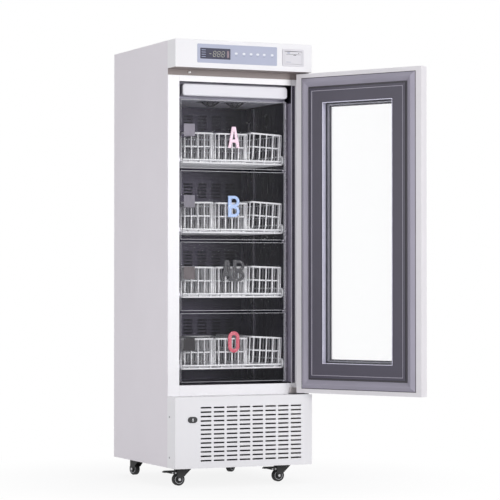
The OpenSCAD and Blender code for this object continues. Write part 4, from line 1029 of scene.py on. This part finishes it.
def cheek_pair(name, near, far, x_span, z_span, corner, shift):
    """Two like plates, one on each side of the wheel."""
    plates = []
    for side in sides:
        inner, outer = sorted((side * near, side * far))
        plates.append(tapered(name, (x_span[0], inner, z_span[0]), (x_span[1], outer, z_span[1]), corner, shift))
    return joined(name, plates)


sides = (-1, 1)
cheeks = cheek_pair("cheeks", 0.0151, 0.0165, (-0.033, 0.032), (0.0345, 0.0695), (0.032, 0.0345), (-0.036, 0, 0))
rings = joined("rings", [wheel_ring((-0.022, side * 0.0097, 0.025)) for side in sides])
heads = joined("heads", [stud(0.0052, 0.0022, (-0.022, side * 0.0161, 0.025), 0.0007) for side in sides])
pedal_cheeks = cheek_pair("pedal_cheeks", 0.0106, 0.0118, (-0.078, -0.033), (0.0435, 0.0555), (-0.078, 0.0435),
                          (0, 0, 0.0105))
rivets = joined("rivets", [stud(0.0034, 0.0018, (x, side * 0.0124, 0.0518), 0.0006)
                           for side in sides for x in (-0.051, -0.0375)])
print("caster details:", [form.name for form in (cheeks, rings, heads, pedal_cheeks, rivets)])

# %% Caster details on the four casters
ring_grey = finish("wheel_ring_grey", tone(186, 186, 190), 0.4, drift=0.05, patch=40, grain=600, depth=0.00004)
rivet_pale = finish("rivet_zinc", tone(236, 236, 238), 0.4, drift=0.05, patch=60, grain=600, depth=0.00002)
swivels = ((-0.22, -0.23), (0.22, -0.23), (-0.22, 0.268), (0.22, 0.268))
for i, (x, y) in enumerate(swivels, 1):
    low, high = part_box(f"caster_wheel_{i}")
    axle = (low + high) / 2
    yaw = math.atan2(axle.y - y, axle.x - x) - math.pi
    spot = Matrix.Translation((x, y, 0)) @ Matrix.Rotation(yaw, 4, "Z")
    fittings = [(cheeks, "caster_cheeks", f"caster_{i}", "caster_black", caster_black),
                (rings, "wheel_rings", f"wheel_{i}", "zinc_steel", ring_grey),
                (heads, "axle_heads", f"caster_{i}", "zinc_steel", rivet_pale)]
    if i < 3:
        fittings += [(pedal_cheeks, "pedal_cheeks", f"brake_pedal_{i}", "caster_black", caster_black),
                     (rivets, "pedal_rivets", f"brake_pedal_{i}", "zinc_steel", rivet_pale)]
    for form, name, body, slot, paint in fittings:
        fitted(placed_copy(form, f"{name}_{i}", spot), body, paint)
    print("caster", i, "turned", round(math.degrees(yaw), 1), "degrees")
for form in (cheeks, rings, heads, pedal_cheeks, rivets):
    bpy.data.objects.remove(form)

# %% [markdown]
# The back is a flat steel sheet held by pan-head screws along its edges and beside the vents. One head is
# turned from a cylinder, slotted by a cube with a Boolean, and copied.

# %% Screws in the back
screw_head = stud(0.0042, 0.0022, (0, 0, 0), 0.0009)
blade = slab("blade", (-0.006, 0.0004, -0.0005), (0.006, 0.004, 0.0005), 0.0001)
only(screw_head)
cut = screw_head.modifiers.new("slot", "BOOLEAN")
cut.operation = "DIFFERENCE"
cut.object = blade
bpy.ops.object.modifier_apply(modifier=cut.name)
bpy.data.objects.remove(blade)
back_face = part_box("back_panel")[1].y
rows = [(x, z) for x in (-0.288, 0.288) for z in (0.09, 0.40, 0.74, 1.08, 1.42, 1.765)]
rows += [(x, z) for x in (-0.1, 0.1) for z in (0.40, 1.765)]
screws_back = joined("back_screws", [
    placed_copy(screw_head, "screw", Matrix.Translation((x, back_face - 0.0011, z)) @ Matrix.Rotation(0.7 * i, 4, "Y"))
    for i, (x, z) in enumerate(rows)])
bpy.data.objects.remove(screw_head)
on_cabinet(screws_back, zinc_steel)
print(screws_back.name, len(rows), "heads")
